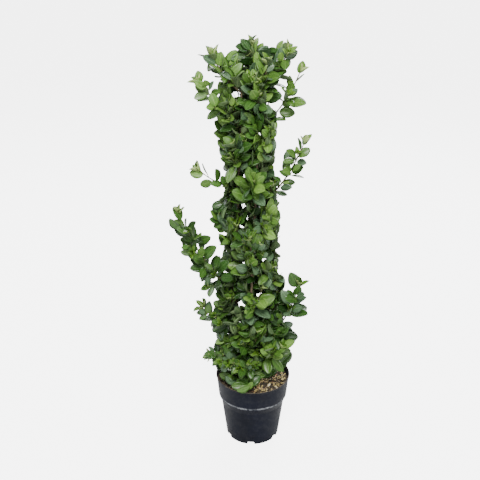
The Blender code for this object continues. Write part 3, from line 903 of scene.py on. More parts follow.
leaderBark = {
    "rings": 260,
    "sides": 16,
    "furrows": 0.05,  # share of the radius
    "furrowTurns": (2, 7),
    "furrowLengths": (0.008, 0.05),
    "joints": 0.16,  # share of the radius that a joint stands out by
    "jointStep": 0.031,
    "jointWidth": 0.05,  # share of the step
    "sunk": 0.010,  # into the fork
}


def makeLeader(name, material):
    # radius tapers, swells at every joint and carries fine furrows
    height = np.linspace(column["forkHeight"] - leaderBark["sunk"], leaders[name][1], leaderBark["rings"])
    path = leaderPoint(name, height)
    share = (height - column["forkHeight"]) / (leaders[name][1] - column["forkHeight"])
    first, last = column["leaderRadii"]
    radius = first + (last - first) * np.clip(share, 0, 1)
    fromJoint = (height / leaderBark["jointStep"]) % 1.0 - 0.5
    joint = np.exp(-(fromJoint / leaderBark["jointWidth"]) ** 2)
    angle = ringAngles(leaderBark["sides"])
    furrows = waves(
        angle[None], height[:, None], len(name), leaderBark["furrowTurns"], leaderBark["furrowLengths"]
    )
    radii = radius[:, None] * (1 + leaderBark["joints"] * joint[:, None] + leaderBark["furrows"] * furrows)
    points, faces = tubes(path[None], radii[None], leaderBark["sides"])
    makePiece(f"{name}Leader", points, faces, [material], [f"leader_{name}"])


print("growing trunk and leaders")
makeTrunk()
leaderMaterial = barkMaterial("leaderBark", (0.050, 0.036, 0.022), (0.19, 0.145, 0.085), 1.0)
for leaderName in leaders:
    makeLeader(leaderName, leaderMaterial)


# Shoots: one stem each, with side twigs, leaves and young tips

shoots = {
    "firstHeight": 0.252,
    "lastHeight": 0.888,
    "levels": 7,
    "stagger": 0.042,
    "reach": 0.027,
    "reachSpread": (0.8, 1.2),
    "climb": 0.078,
    "climbSpread": (0.85, 1.12),
    "points": 14,  # along a stem
    "swing": 74,
    "heightSpread": 0.006,
    "bearingSpread": 0.2,  # radians
    "turn": (0.62, 0.34),  # shares of reach and climb where a stem first points
    "aside": (0, 10, -10, 20, -20, 30, -30),  # degrees that the source tries, for room
    "leaves": 14,
    "twigs": 6,
    "leafLength": 0.049,
    "room": 0.36,  # least distance between two blades' middles, as a share of the length
    "longRoom": 0.58,
    "youth": (0.00, 0.64),  # of a shoot's leaves, dealt out by shoot
    "youthRise": 0.28,  # and more by this for each metre up
    "topSink": 0.001,  # of a top's foot into its leader
    "topLook": 0.45,  # how strongly its leaves look outwards
}

# leader, height, bearing, reach, climb, leaves, twigs, leaf length and where the leaves look
longShoots = {
    "left_long": ("left", 0.445, 181, 0.146, 0.222, 20, 11, 0.049, 270),
    "left_low": ("left", 0.335, 186, 0.086, 0.062, 9, 3, 0.042, 270),
    "left_drooping": ("left", 0.246, 202, 0.104, 0.022, 10, 4, 0.039, 270),
    "left_upper": ("left", 0.735, 176, 0.094, 0.048, 8, 0, 0.041, 270),
    "left_high": ("left", 0.925, 178, 0.098, 0.082, 10, 2, 0.046, 270),
    "right_long": ("right", 0.703, 8, 0.092, 0.144, 12, 3, 0.041, 270),
    "right_low": ("right", 0.300, -10, 0.086, 0.178, 17, 8, 0.058, 270),
    "right_foot": ("right", 0.245, -40, 0.080, 0.062, 10, 4, 0.052, 270),
    "right_high": ("right", 0.895, 4, 0.086, 0.128, 9, 1, 0.050, 270),
    "front_mid": ("front", 0.545, 262, 0.052, 0.090, 10, 4, 0.048, 270),
    "front_foot": ("front", 0.238, 246, 0.070, 0.012, 10, 5, 0.042, 270),
    "left_foot": ("left", 0.240, 228, 0.060, 0.006, 9, 5, 0.042, 270),
    "front_low": ("front", 0.284, 300, 0.046, 0.072, 10, 4, 0.048, 270),
    "back_long": ("back", 0.500, 88, 0.114, 0.185, 14, 5, 0.042, 90),
    "back_low": ("back", 0.246, 76, 0.084, 0.050, 10, 4, 0.042, 90),
    "back_high": ("back", 0.850, 102, 0.084, 0.110, 12, 3, 0.044, 90),
}

# tops carry the leaders on: leader, bearing, reach, climb, leaves, twigs, leaf length
# and where the leaves look
topShoots = {
    "top_left": ("left", 184, 0.066, 0.088, 12, 4, 0.044, 250),
    "top_front": ("front", 325, 0.024, 0.092, 12, 5, 0.046, 275),
    "top_right": ("right", 8, 0.060, 0.086, 12, 4, 0.044, 300),
    "top_back": ("back", 35, 0.036, 0.076, 12, 5, 0.046, 80),
}

twigs = {
    "places": (0.12, 0.72),  # first share of the stem, and the span over which twigs stand
    "length": 0.036,
    "lengthSpread": (0.7, 1.2),
    "shorten": 0.25,  # of the length, lost towards the stem's tip
    "fullReach": 0.072,  # a shoot that reaches further out has longer twigs
    "openness": 1.0,
    "spread": 0.35,
    "rise": 0.010,
    "bend": 0.6,  # share of the length that a twig runs before it bends up
    "points": 5,
    "leaves": 5,
    "firstLeaf": 0.30,
    "leafSize": 0.88,
    "youthSpread": (-0.15, 0.2),
    "radii": (0.0011, 0.0007),
    "stemRadii": (0.0021, 0.0012),
    "boughRadius": 0.0028,
    "petioleRadii": (0.00065, 0.00045),
    "knots": 0.10,
}

leaf = {
    "widths": (0.60, 0.76),  # share of the length
    "sizes": (0.66, 1.16),
    "petiole": 0.006,  # for a blade of the usual length, and longer or shorter with it
    "usual": 0.04,
    "petioleReach": 1.3,  # share of the petiole, so that it runs on under the blade
    "onFace": 0.0001,  # a petiole's end lies this far above the blade's middle
    "first": 0.12,
    "last": 0.97,
    "shrinkToTip": 0.32,
    "openness": (1.20, 0.60),  # at the stem's foot, and lost towards its tip
    "opennessSpread": 0.22,
    "turn": 137.5,
    "lift": 0.10,
    "flatten": 0.55,
    "lookOut": 0.75,
    "lookUp": 0.80,
    "lookSpread": 0.70,
    "inward": -0.45,
    "tries": 9,
    "nextTry": 0.9,
    "youthAlong": 0.5,  # gained from a stem's foot to its tip
    "ageSpread": 0.10,
    "thickness": 0.0004,
    # pale blue-green leaves: painted sheen, the sky's reflection on glossy leaves put into their colour
    "paintedSheen": 0.17,  # share of the leaves that are pale blue-green
    "yellowed": 0.002,
}

spurs = {
    "first": 0.245,
    "belowTip": 0.02,
    "step": 0.011,
    "stepSpread": 0.006,
    "bearingSpread": 150,
    "length": 0.018,
    "lengthSpread": (0.6, 1.2),
    "climb": 0.8,  # share of the length
    "leaves": 5,
    "firstLeaf": 0.45,
    "leafLength": 0.042,
    # low, so the leaves near the axis take dark tones: partly their age, partly painted shade inside the
    # column
    "youth": (-0.1, 0.2),
}

rosette = {
    "leaves": 5,
    "length": 0.025,
    "lengths": (1.15, 0.12),  # share of it for the first leaf, and lost with each next one
    "lengthSpread": (0.8, 1.15),
    "widths": (0.46, 0.6),
    "openness": (0.35, 0.80),
    "opening": (1.25, 0.5),  # of the first leaf, and lost up to the last
    "lift": 0.1,
    "faceOut": 0.55,
    "feet": (0.0035, 0.0007),  # below the tip, and up with each next leaf
    "petiole": 0.002,
    "underBlade": 0.0006,
    "onTwigs": 0.4,
    "onShoots": 1.15,
    "twigSizes": (0.6, 0.95),
}

# the dense column as the picture shows it, in pixels: y, and x of its left and right edge
columnOutline = [
    (42, 245, 249), (50, 240, 275), (62, 223, 278), (96, 220, 270), (130, 219, 272),
    (166, 226, 269), (190, 227, 272), (212, 212, 277), (250, 226, 273), (280, 220, 280),
    (312, 217, 290), (350, 217, 288), (364, 218, 285), (376, 224, 262), (388, 237, 248),
]

# where the sky shows through it: x, y and radius in pixels
skyGaps = [
    (236, 94, 3), (269, 103, 3.5), (245, 178, 2.5), (243, 206, 2.5), (247, 219, 2), (241, 226, 2.5),
    (225, 234, 2), (243, 263, 2), (263, 260, 2.5), (226, 272, 2), (259, 295, 4), (240, 304, 3.5),
    (288, 319, 4),
]

eye = np.array(photoCamera["place"])
grownStems, grownTwigs, grownPetioles, blades, youngBlades = [], [], [], [], []
farAway = 9.0  # metres, beyond everything
mostBlades = 5000
bladeMiddles = np.full((mostBlades, 3), farAway)
waiting = []  # blades that have no twig yet: foot, direction, length and upper face


def onFrontPlane(points):
    # where the line from the eye through a point meets the plane y = 0: its x and height
    share = eye[1] / (eye[1] - points[..., 1:2])
    return (eye + (points - eye) * share)[..., [0, 2]]


def fromSegment(points, first, last):
    # distance from points to the segments between first and last
    way = last - first
    share = ((points - first) * way).sum(-1) / np.maximum((way * way).sum(-1), 1e-9)
    return np.linalg.norm(points - first - way * np.clip(share, 0, 1)[..., None], axis=-1)


def atPixel(x, y):
    # the place on the plane y = 0 that the picture shows there: its x and height
    down, left = math.radians(photoCamera["lookDown"]), math.radians(photoCamera["lookLeft"])
    focal = photoCamera["lens"] / photoCamera["sensor"] * photoCamera["picture"]
    middle = photoCamera["picture"] / 2
    ahead = np.array([-math.sin(left) * math.cos(down), math.cos(left) * math.cos(down), -math.sin(down)])
    right = np.array([math.cos(left), math.sin(left), 0.0])
    way = ahead + (right * (x - middle) + np.cross(right, ahead) * (middle - y)) / focal
    return (eye - way * eye[1] / way[1])[[0, 2]]


clearance = {
    "side": 0.17,  # kept from a blade's middle line to a gap, as a share of its length
    "loose": 0.016,  # the most that a tip stands out of the column
    "looseWaves": 9000,  # radians per metre, so neighbours differ
    "reach": 0.012,  # beyond the solids
    "insideRim": 0.012,
    "overSoil": 0.006,
    "overRim": 0.004,
    "outsideRim": 0.010,
}
reachLow = np.array(cadBox[0]) - clearance["reach"]
reachHigh = np.array(cadBox[1]) + clearance["reach"]
edgeRows = np.array([
    (atPixel(left, y)[1], atPixel(left, y)[0], atPixel(right, y)[0])
    for y, left, right in reversed(columnOutline)
])
gapRows = np.array([
    (*atPixel(x, y), atPixel(x + radius, y)[0] - atPixel(x, y)[0]) for x, y, radius in skyGaps
])


def isInReach(foot, tip):
    # within the solids' reach, and out of the gaps
    low, high = onFrontPlane(foot), onFrontPlane(tip)
    side = np.linalg.norm(tip - foot) * clearance["side"]
    if (tip < reachLow).any() or (tip > reachHigh).any():
        return False
    return not (fromSegment(gapRows[:, :2], low, high) < side + gapRows[:, 2]).any()


def isInColumn(foot, tip):
    # a tip may stand out of the column's outline, by an amount that varies from leaf to leaf
    low, high = onFrontPlane(foot), onFrontPlane(tip)
    loose = clearance["loose"] * (0.5 + 0.5 * math.sin(clearance["looseWaves"] * foot[2]))
    left, right = (np.interp(high[1], edgeRows[:, 0], edgeRows[:, k]) for k in (1, 2))
    inside = left - loose < high[0] < right + loose
    left, right = (np.interp(low[1], edgeRows[:, 0], edgeRows[:, k]) for k in (1, 2))
    return inside and left < low[0] < right and isInReach(foot, tip)


def branchOff(stem, share, side, outward):
    # where a twig or leaf leaves its stem, and the level direction across the stem
    place = share * (len(stem) - 1)
    i = min(int(place), len(stem) - 2)
    foot = stem[i] + (stem[i + 1] - stem[i]) * (place - i)
    along = unit(stem[i + 1] - stem[i])
    across = np.cross(up, along)
    across = unit(across) if np.linalg.norm(across) > 0.05 else unit(np.cross([1.0, 0, 0], along))
    sideways = across * math.cos(side) + np.cross(along, across) * math.sin(side)
    if sideways @ outward < leaf["inward"]:
        sideways = -sideways
    return foot, along, sideways


def anyWay(dice):
    return np.array([dice.uniform(-leaf["lookSpread"], leaf["lookSpread"]) for _ in range(3)])


def petioleOf(length):
    return leaf["petiole"] * length / leaf["usual"]


def leafFrame(stem, share, turn, openness, outward, dice):
    # where a leaf stands, which way it runs, and the way its upper face looks
    foot, stemAlong, sideways = branchOff(stem, share, turn, outward)
    along = stemAlong * math.cos(openness) + sideways * math.sin(openness) + up * leaf["lift"]
    along = unit(along - outward * (along @ outward * leaf["flatten"]))
    wish = outward * leaf["lookOut"] + up * leaf["lookUp"] + anyWay(dice)
    return foot, along, unit(wish - along * (wish @ along))


bladeShape = {
    "curl": (-0.10, 0.50),  # of the midrib, radians
    "cup": (0.02, 0.26),  # of the sides
    "fold": (0.02, 0.24),  # at the midrib
    "twist": (-0.20, 0.20),  # radians
    "phase": (0, 1),  # of the edge's ripple
    "shade": (0, 1),
}

youngShape = {
    **bladeShape,
    "curl": (-0.3, 0.35),
    "cup": (0.3, 0.6),
    "fold": (0.15, 0.35),
    "twist": (-0.3, 0.3),
}


def addBlade(foot, along, face, length, age, dice):
    # age runs from 0, old and dark, to 1, young and light
    age += dice.uniform(-leaf["ageSpread"], leaf["ageSpread"])
    odd = dice.random()
    # a share of the leaves takes the painted sheen tone, and a few are yellowed
    if odd < leaf["paintedSheen"] + leaf["yellowed"]:
        age = 2.0 if odd < leaf["paintedSheen"] else 3.0  # ages that leafTones keeps for them
    width = dice.uniform(*leaf["widths"])
    shape = [dice.uniform(low, high) for low, high in bladeShape.values()]
    blades.append((*foot, *along, *face, length, width, *shape, age))


infill = {  # blades that close the column behind the others
    "cell": 0.0045,
    "across": (-0.125, 0.115),
    "upright": (0.135, 1.10),
    "depths": (-0.005, 0.050),
    "lengths": (0.032, 0.048),
    "turn": 1.9,  # radians from upright
    "lean": 0.5,
    "tries": 12,
    "shorter": 0.045,  # share of the length lost with each try
    "cover": 0.72,  # of the ellipse that a blade spans
    "overSoil": 0.022,  # least height of a blade's middle
    "downwards": 0.8,  # what a twig that runs down or back costs more, per metre
    "backwards": 0.5,
    "leastTwig": 0.003,
    "bend": (0.6, 0.6, 0.35),  # shares of the way, on X, Y and Z, where a twig first points
    "underBlade": 0.0015,
    "room": 0.16,
    "ages": (0.08, 1.00),
}


def hiddenBy(row, cells):
    # cells inside the ellipse that a blade's length and width span on the front plane
    foot, along, face, length, width = row[0:3], np.array(row[3:6]), np.array(row[6:9]), row[9], row[10]
    middle = np.array(foot) + along * length / 2
    side = np.cross(along, face) * length * width / 2
    ends = onFrontPlane(np.array([middle, middle + along * length / 2, middle + side]))
    first, second = ends[1] - ends[0], ends[2] - ends[0]
    span = first[0] * second[1] - first[1] * second[0]
    span = math.copysign(max(abs(span), 1e-7), span)
    away = cells - ends[0]
    u = (away[:, 0] * second[1] - away[:, 1] * second[0]) / span
    v = (first[0] * away[:, 1] - first[1] * away[:, 0]) / span
    return u * u + v * v < infill["cover"]


def offThePot(point):
    radius = math.hypot(point[0], point[1])
    if radius < rimRadius - clearance["insideRim"]:
        return point[2] > soil["middleHeight"] + clearance["overSoil"]
    return point[2] > potHeight + clearance["overRim"] or radius > rimRadius + clearance["outsideRim"]


def closeColumn():
    # wherever the sky would show between the edges, except in the gaps, a blade is set behind
    dice = random.Random("infill")
    steps = [np.arange(*infill[span], infill["cell"]) for span in ("across", "upright")]
    x, z = np.meshgrid(*steps)
    cells = np.stack([x.ravel(), z.ravel()], axis=-1)
    left = np.interp(cells[:, 1], edgeRows[:, 0], edgeRows[:, 1])
    right = np.interp(cells[:, 1], edgeRows[:, 0], edgeRows[:, 2])
    empty = (cells[:, 0] > left) & (cells[:, 0] < right)
    for gapX, gapZ, radius in gapRows:
        empty &= np.hypot(cells[:, 0] - gapX, cells[:, 1] - gapZ) > radius
    for row in blades + youngBlades:
        empty &= ~hiddenBy(row, cells)
    order = list(np.flatnonzero(empty))
    dice.shuffle(order)
    print("cells to close", len(order))
    for index in order:
        if not empty[index]:
            continue
        target = np.array([cells[index, 0], 0, cells[index, 1]])
        rise = (eye[2] - target[2]) / -eye[1]
        forward = max(0.0, (soil["middleHeight"] + infill["overSoil"] - target[2]) / rise)
        for attempt in range(infill["tries"]):
            depth = min(dice.uniform(*infill["depths"]), -forward)
            middle = eye + (target - eye) * (eye[1] - depth) / eye[1]
            length = dice.uniform(*infill["lengths"]) * (1 - infill["shorter"] * attempt)
            turn = dice.uniform(-infill["turn"], infill["turn"])
            lean = dice.uniform(-infill["lean"], infill["lean"])
            along = unit(np.array([math.sin(turn), lean, math.cos(turn)]))
            foot, tip = middle - along * length / 2, middle + along * length / 2
            near = np.linalg.norm(bladeMiddles[:len(blades)] - middle, axis=1).min()
            clear = near >= infill["room"] * length and offThePot(foot) and offThePot(tip)
            if not (clear and isInColumn(foot, tip)):
                continue
            wish = unit(eye - middle) + anyWay(dice)
            face = unit(wish - along * (wish @ along))
            bladeMiddles[len(blades)] = middle
            addBlade(foot, along, face, length, dice.uniform(*infill["ages"]), dice)
            waiting.append((foot, along, length, face))
            empty &= ~hiddenBy(blades[-1], cells)
            break
    print("cells left open", int(empty.sum()))


def joinInfill():
    # nearest first, a twig grows to each blade from the nearest stem, rather from below and
    # from behind, and may carry the blades that come after it
    feet = np.array([foot - along * petioleOf(length) for foot, along, length, _ in waiting])
    cost = np.full(len(feet), farAway)
    done = np.zeros(len(feet), bool)
    source = np.zeros((len(feet), 3))

    def offer(points):
        way = feet[:, None] - points[None]
        price = np.linalg.norm(way, axis=-1) + infill["downwards"] * np.clip(-way[..., 2], 0, 1)
        price += infill["backwards"] * np.clip(way[..., 1], 0, 1)
        nearest = price.argmin(axis=1)
        price = price[np.arange(len(feet)), nearest]
        better = (price < cost) & ~done
        cost[better] = price[better]
        source[better] = points[nearest[better]]

    limbs = [leaderPoint(name, np.arange(0.24, tip, 0.006)) for name, (_, tip) in leaders.items()]
    offer(np.concatenate(limbs + [stem[1:] for stem, _ in grownStems] + [twig[1:] for twig in grownTwigs]))
    for _ in range(len(feet)):
        index = int(np.where(done, farAway, cost).argmin())
        done[index] = True
        foot, along, length, face = waiting[index]
        start, end = source[index], feet[index]
        way = end - start
        if np.linalg.norm(way) > infill["leastTwig"]:
            twig = bentPath(start, start + way * infill["bend"], end, twigs["points"])
            grownTwigs.append(twig)
            offer(twig[2:])
        else:
            end = start
        grownPetioles.append((end, foot + along * infill["underBlade"] + face * leaf["onFace"]))


def growLeaves(stem, count, first, length, room, outward, dice, youth, clear):
    # leaves round a stem, each turned on from the last, smaller and closer to it near the tip
    turn = dice.uniform(0, 2 * math.pi)
    before = len(blades)
    for index in range(count):
        share = first + (leaf["last"] - first) * index / max(1, count - 1)
        size = length * (1 - leaf["shrinkToTip"] * share**2) * dice.uniform(*leaf["sizes"])
        openness = leaf["openness"][0] - leaf["openness"][1] * share
        openness += dice.uniform(-leaf["opennessSpread"], leaf["opennessSpread"])
        for attempt in range(leaf["tries"]):
            nextTurn = turn + attempt * leaf["nextTry"]
            foot, along, face = leafFrame(stem, share, nextTurn, openness, outward, dice)
            petiole = petioleOf(size)
            middle = foot + along * (petiole + size / 2)
            taken = len(blades)
            near = np.linalg.norm(bladeMiddles[:taken] - middle, axis=1)
            start = foot + along * petiole
            if near.min(initial=farAway) > room * size and clear(start, start + along * size):
                bladeMiddles[taken] = middle
                end = foot + along * (petiole * leaf["petioleReach"]) + face * leaf["onFace"]
                grownPetioles.append((foot, end))
                addBlade(start, along, face, size, youth + share * leaf["youthAlong"], dice)
                break
        turn += math.radians(leaf["turn"])
    return len(blades) - before


def growRosette(stem, outward, dice, clear, scale=1.0):
    # small young leaves close round a tip
    tip, along = stem[-1], unit(stem[-1] - stem[-2])
    if not clear(tip, tip + along * rosette["length"] * scale):
        return
    guide = np.cross(along, outward)
    across = unit(guide) if np.linalg.norm(guide) > 0.1 else unit(np.cross(along, [1.0, 0, 0]))
    third = np.cross(along, across)
    first = dice.uniform(0, 2 * math.pi)
    for index in range(rosette["leaves"]):
        angle = first + index * math.radians(leaf["turn"])
        opening = rosette["opening"][0] - rosette["opening"][1] * index / rosette["leaves"]
        openness = dice.uniform(*rosette["openness"]) * opening
        sideways = across * math.cos(angle) + third * math.sin(angle)
        way = unit(along * math.cos(openness) + sideways * math.sin(openness) + up * rosette["lift"])
        face = along - sideways * rosette["faceOut"]
        face = unit(face - way * (face @ way))
        size = rosette["length"] * scale * (rosette["lengths"][0] - rosette["lengths"][1] * index)
        size *= dice.uniform(*rosette["lengthSpread"])
        foot = tip - along * (rosette["feet"][0] - rosette["feet"][1] * index)
        start = foot + way * rosette["petiole"]
        grownPetioles.append((foot, start + way * rosette["underBlade"]))
        youngBlades.append((
            *start, *way, *face, size, dice.uniform(*rosette["widths"]),
            *[dice.uniform(low, high) for low, high in youngShape.values()], 1.0,
        ))


def growTwigs(stem, count, length, room, outward, dice, youth, clear):
    # side twigs to one side of the stem and the other in turn, bending up to the light
    stretch = max(1.0, math.hypot(*(stem[-1] - stem[0])[:2]) / twigs["fullReach"])
    for index in range(count):
        share = twigs["places"][0] + twigs["places"][1] * (index + 0.5) / count
        side = math.pi * (index % 2) + dice.uniform(-twigs["spread"], twigs["spread"])
        foot, along, sideways = branchOff(stem, share, side, outward)
        heading = along * math.cos(twigs["openness"]) + sideways * math.sin(twigs["openness"])
        reach = stretch * twigs["length"] * dice.uniform(*twigs["lengthSpread"])
        reach *= 1 - twigs["shorten"] * share
        end = foot + heading * reach + up * twigs["rise"]
        twig = bentPath(foot, foot + heading * reach * twigs["bend"], end, twigs["points"])
        grown = growLeaves(
            twig, twigs["leaves"], twigs["firstLeaf"], length * twigs["leafSize"], room, outward, dice,
            youth + dice.uniform(*twigs["youthSpread"]), clear,
        )
        if grown == 0:
            continue
        grownTwigs.append(twig)
        if dice.random() < rosette["onTwigs"]:
            growRosette(twig, outward, dice, clear, dice.uniform(*rosette["twigSizes"]))


def stemPath(start, heading, reach, climb):
    # leaves sideways and ends steeper, as a shoot that turns to the light
    out = levelWay(heading)
    turn = start + out * (reach * shoots["turn"][0]) + up * (climb * shoots["turn"][1])
    return bentPath(start, turn, start + out * reach + up * climb, shoots["points"])


def outFromColumn(point):
    out = point - columnAxis(point[2])
    return unit(np.array([out[0], out[1], 0.0]))


def growShoot(name, start, heading, reach, climb, leaves, twigCount, leafLength, room, outward=None):
    dice = random.Random(name)
    stem = stemPath(start, heading, reach, climb)
    outward = outFromColumn(stem[-1]) if outward is None else outward
    grownStems.append((stem, name.startswith(("left_long", "right_long", "right_low", "back_long"))))
    clear = isInReach if name in longShoots or name in topShoots else isInColumn
    youth = dice.uniform(*shoots["youth"]) + shoots["youthRise"] * start[2]
    growTwigs(stem, twigCount, leafLength, room, outward, dice, youth, clear)
    growLeaves(stem, leaves, leaf["first"], leafLength, room, outward, dice, youth, clear)
    growRosette(stem, outward, dice, clear, rosette["onShoots"])


def turnAside(node, start, heading, reach, climb):
    # of the turns that the source tries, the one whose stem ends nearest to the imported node
    points = np.array([vertex.co for vertex in frame["nodes"][node].data.vertices])
    tips = {turn: start + levelWay(heading + turn) * reach + up * climb for turn in shoots["aside"]}
    return min(tips, key=lambda turn: np.linalg.norm(points - tips[turn], axis=1).min())


def growShortShoots():
    for order, leader in enumerate(leaders):
        for level in range(shoots["levels"]):
            share = level / (shoots["levels"] - 1)
            dice = random.Random(f"{leader} {level}")
            height = shoots["firstHeight"] + (shoots["lastHeight"] - shoots["firstHeight"]) * share
            height += shoots["stagger"] * (order % 2)
            height += dice.uniform(-shoots["heightSpread"], shoots["heightSpread"])
            name = f"shoot_{leader}_{level + 1}"
            heading = leaderBearing(leader, height) + shoots["swing"] * (1 if level % 2 else -1)
            heading += math.degrees(dice.uniform(-shoots["bearingSpread"], shoots["bearingSpread"]))
            start = leaderPoint(leader, height)
            reach = shoots["reach"] * dice.uniform(*shoots["reachSpread"])
            climb = shoots["climb"] * dice.uniform(*shoots["climbSpread"])
            heading += turnAside(name, start, heading, reach, climb)
            growShoot(
                name, start, heading, reach, climb, shoots["leaves"], shoots["twigs"],
                shoots["leafLength"], shoots["room"],
            )


def growLongShoots():
    for name, row in longShoots.items():
        leader, height, heading, reach, climb, leaves, twigCount, length, looks = row
        start = leaderPoint(leader, height)
        growShoot(
            name, start, heading, reach, climb, leaves, twigCount, length,
            shoots["longRoom"], levelWay(looks),
        )
    for name, row in topShoots.items():
        leader, heading, reach, climb, leaves, twigCount, length, looks = row
        start = leaderPoint(leader, leaders[leader][1] - shoots["topSink"])
        growShoot(
            name, start, heading, reach, climb, leaves, twigCount, length,
            shoots["room"], levelWay(looks) * shoots["topLook"],
        )


def growSpurs():
    # very short shoots straight from the leaders, between the others
    for leader, (_, tip) in leaders.items():
        dice = random.Random(f"{leader} spurs")
        for height in np.arange(spurs["first"], tip - spurs["belowTip"], spurs["step"]):
            start = leaderPoint(leader, height + dice.uniform(-spurs["stepSpread"], spurs["stepSpread"]))
            heading = leaderBearing(leader, height)
            heading += dice.uniform(-spurs["bearingSpread"], spurs["bearingSpread"])
            way, length = levelWay(heading), spurs["length"]
            end = start + way * length * dice.uniform(*spurs["lengthSpread"]) + up * length * spurs["climb"]
            spur = bentPath(start, start + way * length * twigs["bend"], end, twigs["points"])
            # dark tones near the axis: partly older leaves, partly painted shade
            youth = dice.uniform(*spurs["youth"])
            grown = growLeaves(
                spur, spurs["leaves"], spurs["firstLeaf"], spurs["leafLength"], shoots["room"],
                way, dice, youth, isInColumn,
            )
            if grown:
                grownTwigs.append(spur)


print("growing shoots, twigs and leaves")
growLongShoots()
growShortShoots()
growSpurs()
closeColumn()
joinInfill()
masses = sorted(set(frame["nodes"]) - {"pot", "soil", "trunk"})
masses = [node for node in masses if not node.startswith(("leader_", "bough_"))]
boughNodes = [node for node in frame["nodes"] if node.startswith("bough_")]


# Leaf blades as closed thin shells

def bladeMesh(stations, lanes):
    # u and v of every point, the faces, and 0 for an upper and 1 for an under face.
    # The under side shares the rim's points and has its own inside the rim.
    rows, columns = len(stations), len(lanes)
    u, v = (grid.ravel() for grid in np.meshgrid(stations, lanes, indexing="ij"))
    upper = gridFaces(rows, columns, False)
    index = np.arange(rows * columns).reshape(rows, columns)
    inner = index[1:-1, 1:-1].ravel()
    under = np.arange(rows * columns)
    under[inner] = rows * columns + np.arange(len(inner))
    faces = np.concatenate([upper[:, ::-1], under[upper]])
    return (
        np.concatenate([u, u[inner]]), np.concatenate([v, v[inner]]),
        np.repeat([0, 1], [rows * columns, len(inner)]),
        faces, np.repeat([0, 1], [len(upper), len(upper)]),
    )


def bladePoints(rows, u, v, below):
    # half width = length * width / 2 * sin(pi u^0.90)^0.64, with a narrow foot and tip.
    # The midrib is an arc of curl radians; the sides rise by cup |v|^1.5 + fold |v|,
    # ripple at the rim and twist towards the tip. The under side lies thickness lower.
    rows = np.array(rows)
    foot, along, face = rows[:, None, 0:3], rows[:, None, 3:6], rows[:, None, 6:9]
    length, width, curl, cup, fold, twist, phase = (rows[:, k, None] for k in range(9, 16))
    side = np.cross(along, face)
    curl = np.where(np.abs(curl) < 0.02, 0.02, curl)
    outline = np.sin(math.pi * u**0.90).clip(0) ** 0.64 + 0.035 * (1 - u) ** 6 + 0.01
    half = length * width / 2 * outline
    rise = half * (cup * np.abs(v) ** 1.5 + fold * np.abs(v))
    rise = rise + length * 0.005 * np.sin(2 * math.pi * (1.7 * u + phase) + (v > 0) * 1.3) * v**2
    ridge = 1 + 1.6 * (np.abs(v) < 0.1) * (1 - u)
    rise = rise - leaf["thickness"] * ridge * below
    bend = curl * u
    x = length * np.sin(bend) / curl
    z = -length * (1 - np.cos(bend)) / curl
    y = half * v * np.cos(twist * u) - rise * np.sin(twist * u)
    h = half * v * np.sin(twist * u) + rise * np.cos(twist * u)
    points = along * (x + h * np.sin(bend))[..., None] + side * y[..., None]
    return foot + points + face * (z + h * np.cos(bend))[..., None]


leafTones = {  # least age, blade, brighter blade, vein, roughness
    "deepLeaves": (-1.0, (0.006, 0.024, 0.003), (0.013, 0.044, 0.006), (0.026, 0.070, 0.014), 0.30),
    "darkLeaves": (0.20, (0.015, 0.050, 0.007), (0.034, 0.096, 0.015), (0.060, 0.140, 0.028), 0.30),
    "midLeaves": (0.38, (0.024, 0.072, 0.009), (0.054, 0.134, 0.020), (0.092, 0.195, 0.040), 0.30),
    "freshLeaves": (0.62, (0.039, 0.101, 0.012), (0.083, 0.178, 0.025), (0.138, 0.255, 0.052), 0.34),
    "lightLeaves": (0.84, (0.080, 0.186, 0.025), (0.158, 0.295, 0.050), (0.245, 0.385, 0.095), 0.38),
    # painted sheen: the sky's reflection on glossy leaves, as a pale blue-green blade colour
    "paintedSheenLeaves": (1.9, (0.044, 0.096, 0.042), (0.094, 0.166, 0.080), (0.160, 0.250, 0.130), 0.42),
    "yellowedLeaves": (2.9, (0.360, 0.370, 0.070), (0.560, 0.530, 0.180), (0.480, 0.460, 0.140), 0.50),
}

bladeStations = (0, 0.05, 0.14, 0.27, 0.42, 0.58, 0.73, 0.86, 0.95, 1)

youngTone = ((0.053, 0.140, 0.010), (0.118, 0.240, 0.024), (0.21, 0.33, 0.065), 0.36)
underTone = ((0.062, 0.112, 0.040), (0.120, 0.180, 0.072), (0.18, 0.25, 0.10), 0.60)
paleUnderTone = ((0.200, 0.300, 0.080), (0.300, 0.400, 0.130), (0.42, 0.50, 0.20), 0.55)


def leafMaterial(name, blade, bright, vein, gloss):
    material, tree, shader = newMaterial(
        name, gloss, Coat_Weight=0.15, Coat_Roughness=0.25, Specular_IOR_Level=0.40
    )
    uvMap = newNode(tree, "UVMap")
    uvMap.uv_map = "surface"
    shade = newNode(tree, "Attribute")
    shade.attribute_name = "shade"
    node = placeGroup(
        tree, leafSurface, Map=uvMap.outputs["UV"], Place=objectPlace(tree), Shade=shade.outputs["Fac"],
        Blade=blade, Bright=bright, Vein=vein, Gloss=gloss,
    )
    finishFrom(shader, node, 0.0003)
    return material


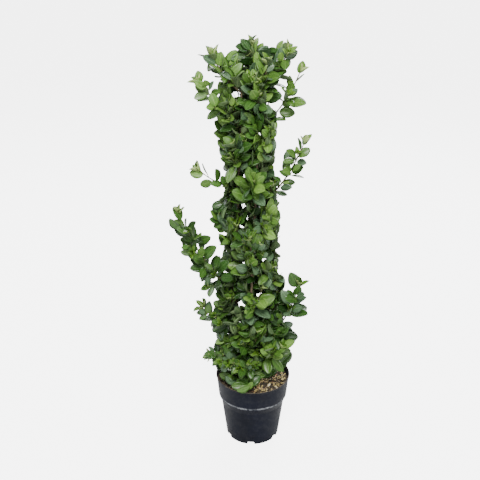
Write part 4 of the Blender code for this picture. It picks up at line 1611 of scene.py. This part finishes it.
def makeBlades(name, rows, stations, lanes, materials):
    u, v, below, faces, faceSlots = bladeMesh(stations, lanes)
    points = bladePoints(rows, u, v, below)
    many, size = len(rows), len(u)
    uv = np.tile(np.stack([v / 2 + 0.5, u], axis=-1), (many, 1))
    shade = np.repeat(np.array(rows)[:, 16], size)
    makePiece(
        name, points.reshape(-1, 3), [repeated(faces, size, many)], materials, masses,
        uv, shade, np.tile(faceSlots, many),
    )


def makeFoliage():
    ages = np.array([row[-1] for row in blades])
    lowest = [tone[0] for tone in leafTones.values()] + [math.inf]
    under = leafMaterial("leafUnderside", *underTone)
    for (name, tone), low, high in zip(leafTones.items(), lowest, lowest[1:]):
        chosen = [row for row, age in zip(blades, ages) if low <= age < high]
        materials = [leafMaterial(name, *tone[1:]), under]
        makeBlades(name, chosen, bladeStations, (-1, -0.5, 0, 0.5, 1), materials)
        print(name, len(chosen))
    young = [leafMaterial("youngLeaves", *youngTone), leafMaterial("youngUnderside", *paleUnderTone)]
    makeBlades("youngLeaves", youngBlades, (0, 0.2, 0.5, 0.8, 1), (-1, 0, 1), young)


def makeStems():
    first, last = twigs["stemRadii"]
    paths = np.array([stem for stem, _ in grownStems])
    share = np.linspace(0, 1, paths.shape[1])
    thick = np.array([bough for _, bough in grownStems])[:, None]
    radii = first + (last - first) * share + thick * (twigs["boughRadius"] - first) * (1 - share)
    knots = 1 + twigs["knots"] * np.cos(np.arange(paths.shape[1]) * math.pi)
    points, faces = tubes(paths, radii * knots, 8)
    material = barkMaterial("shootBark", (0.030, 0.022, 0.012), (0.115, 0.085, 0.042), 0.35)
    makePiece("shootStems", points, faces, [material], boughNodes + masses)
    paths = np.array(grownTwigs)
    first, last = twigs["radii"]
    radii = np.tile(np.linspace(first, last, paths.shape[1]), (len(paths), 1))
    points, faces = tubes(paths, radii, 6)
    material = barkMaterial("greenTwigs", (0.042, 0.062, 0.018), (0.125, 0.165, 0.046), 0.0)
    makePiece("greenTwigs", points, faces, [material], masses)
    paths = np.array(grownPetioles)
    radii = np.tile(twigs["petioleRadii"], (len(paths), 1))
    points, faces = tubes(paths, radii, 4)
    material = barkMaterial("petioles", (0.110, 0.175, 0.040), (0.240, 0.330, 0.090), 0.0)
    makePiece("petioles", points, faces, [material], masses)


print(f"{len(blades)} leaves, {len(youngBlades)} young leaves, {len(grownTwigs)} twigs")
makeFoliage()
makeStems()

print("finishing")
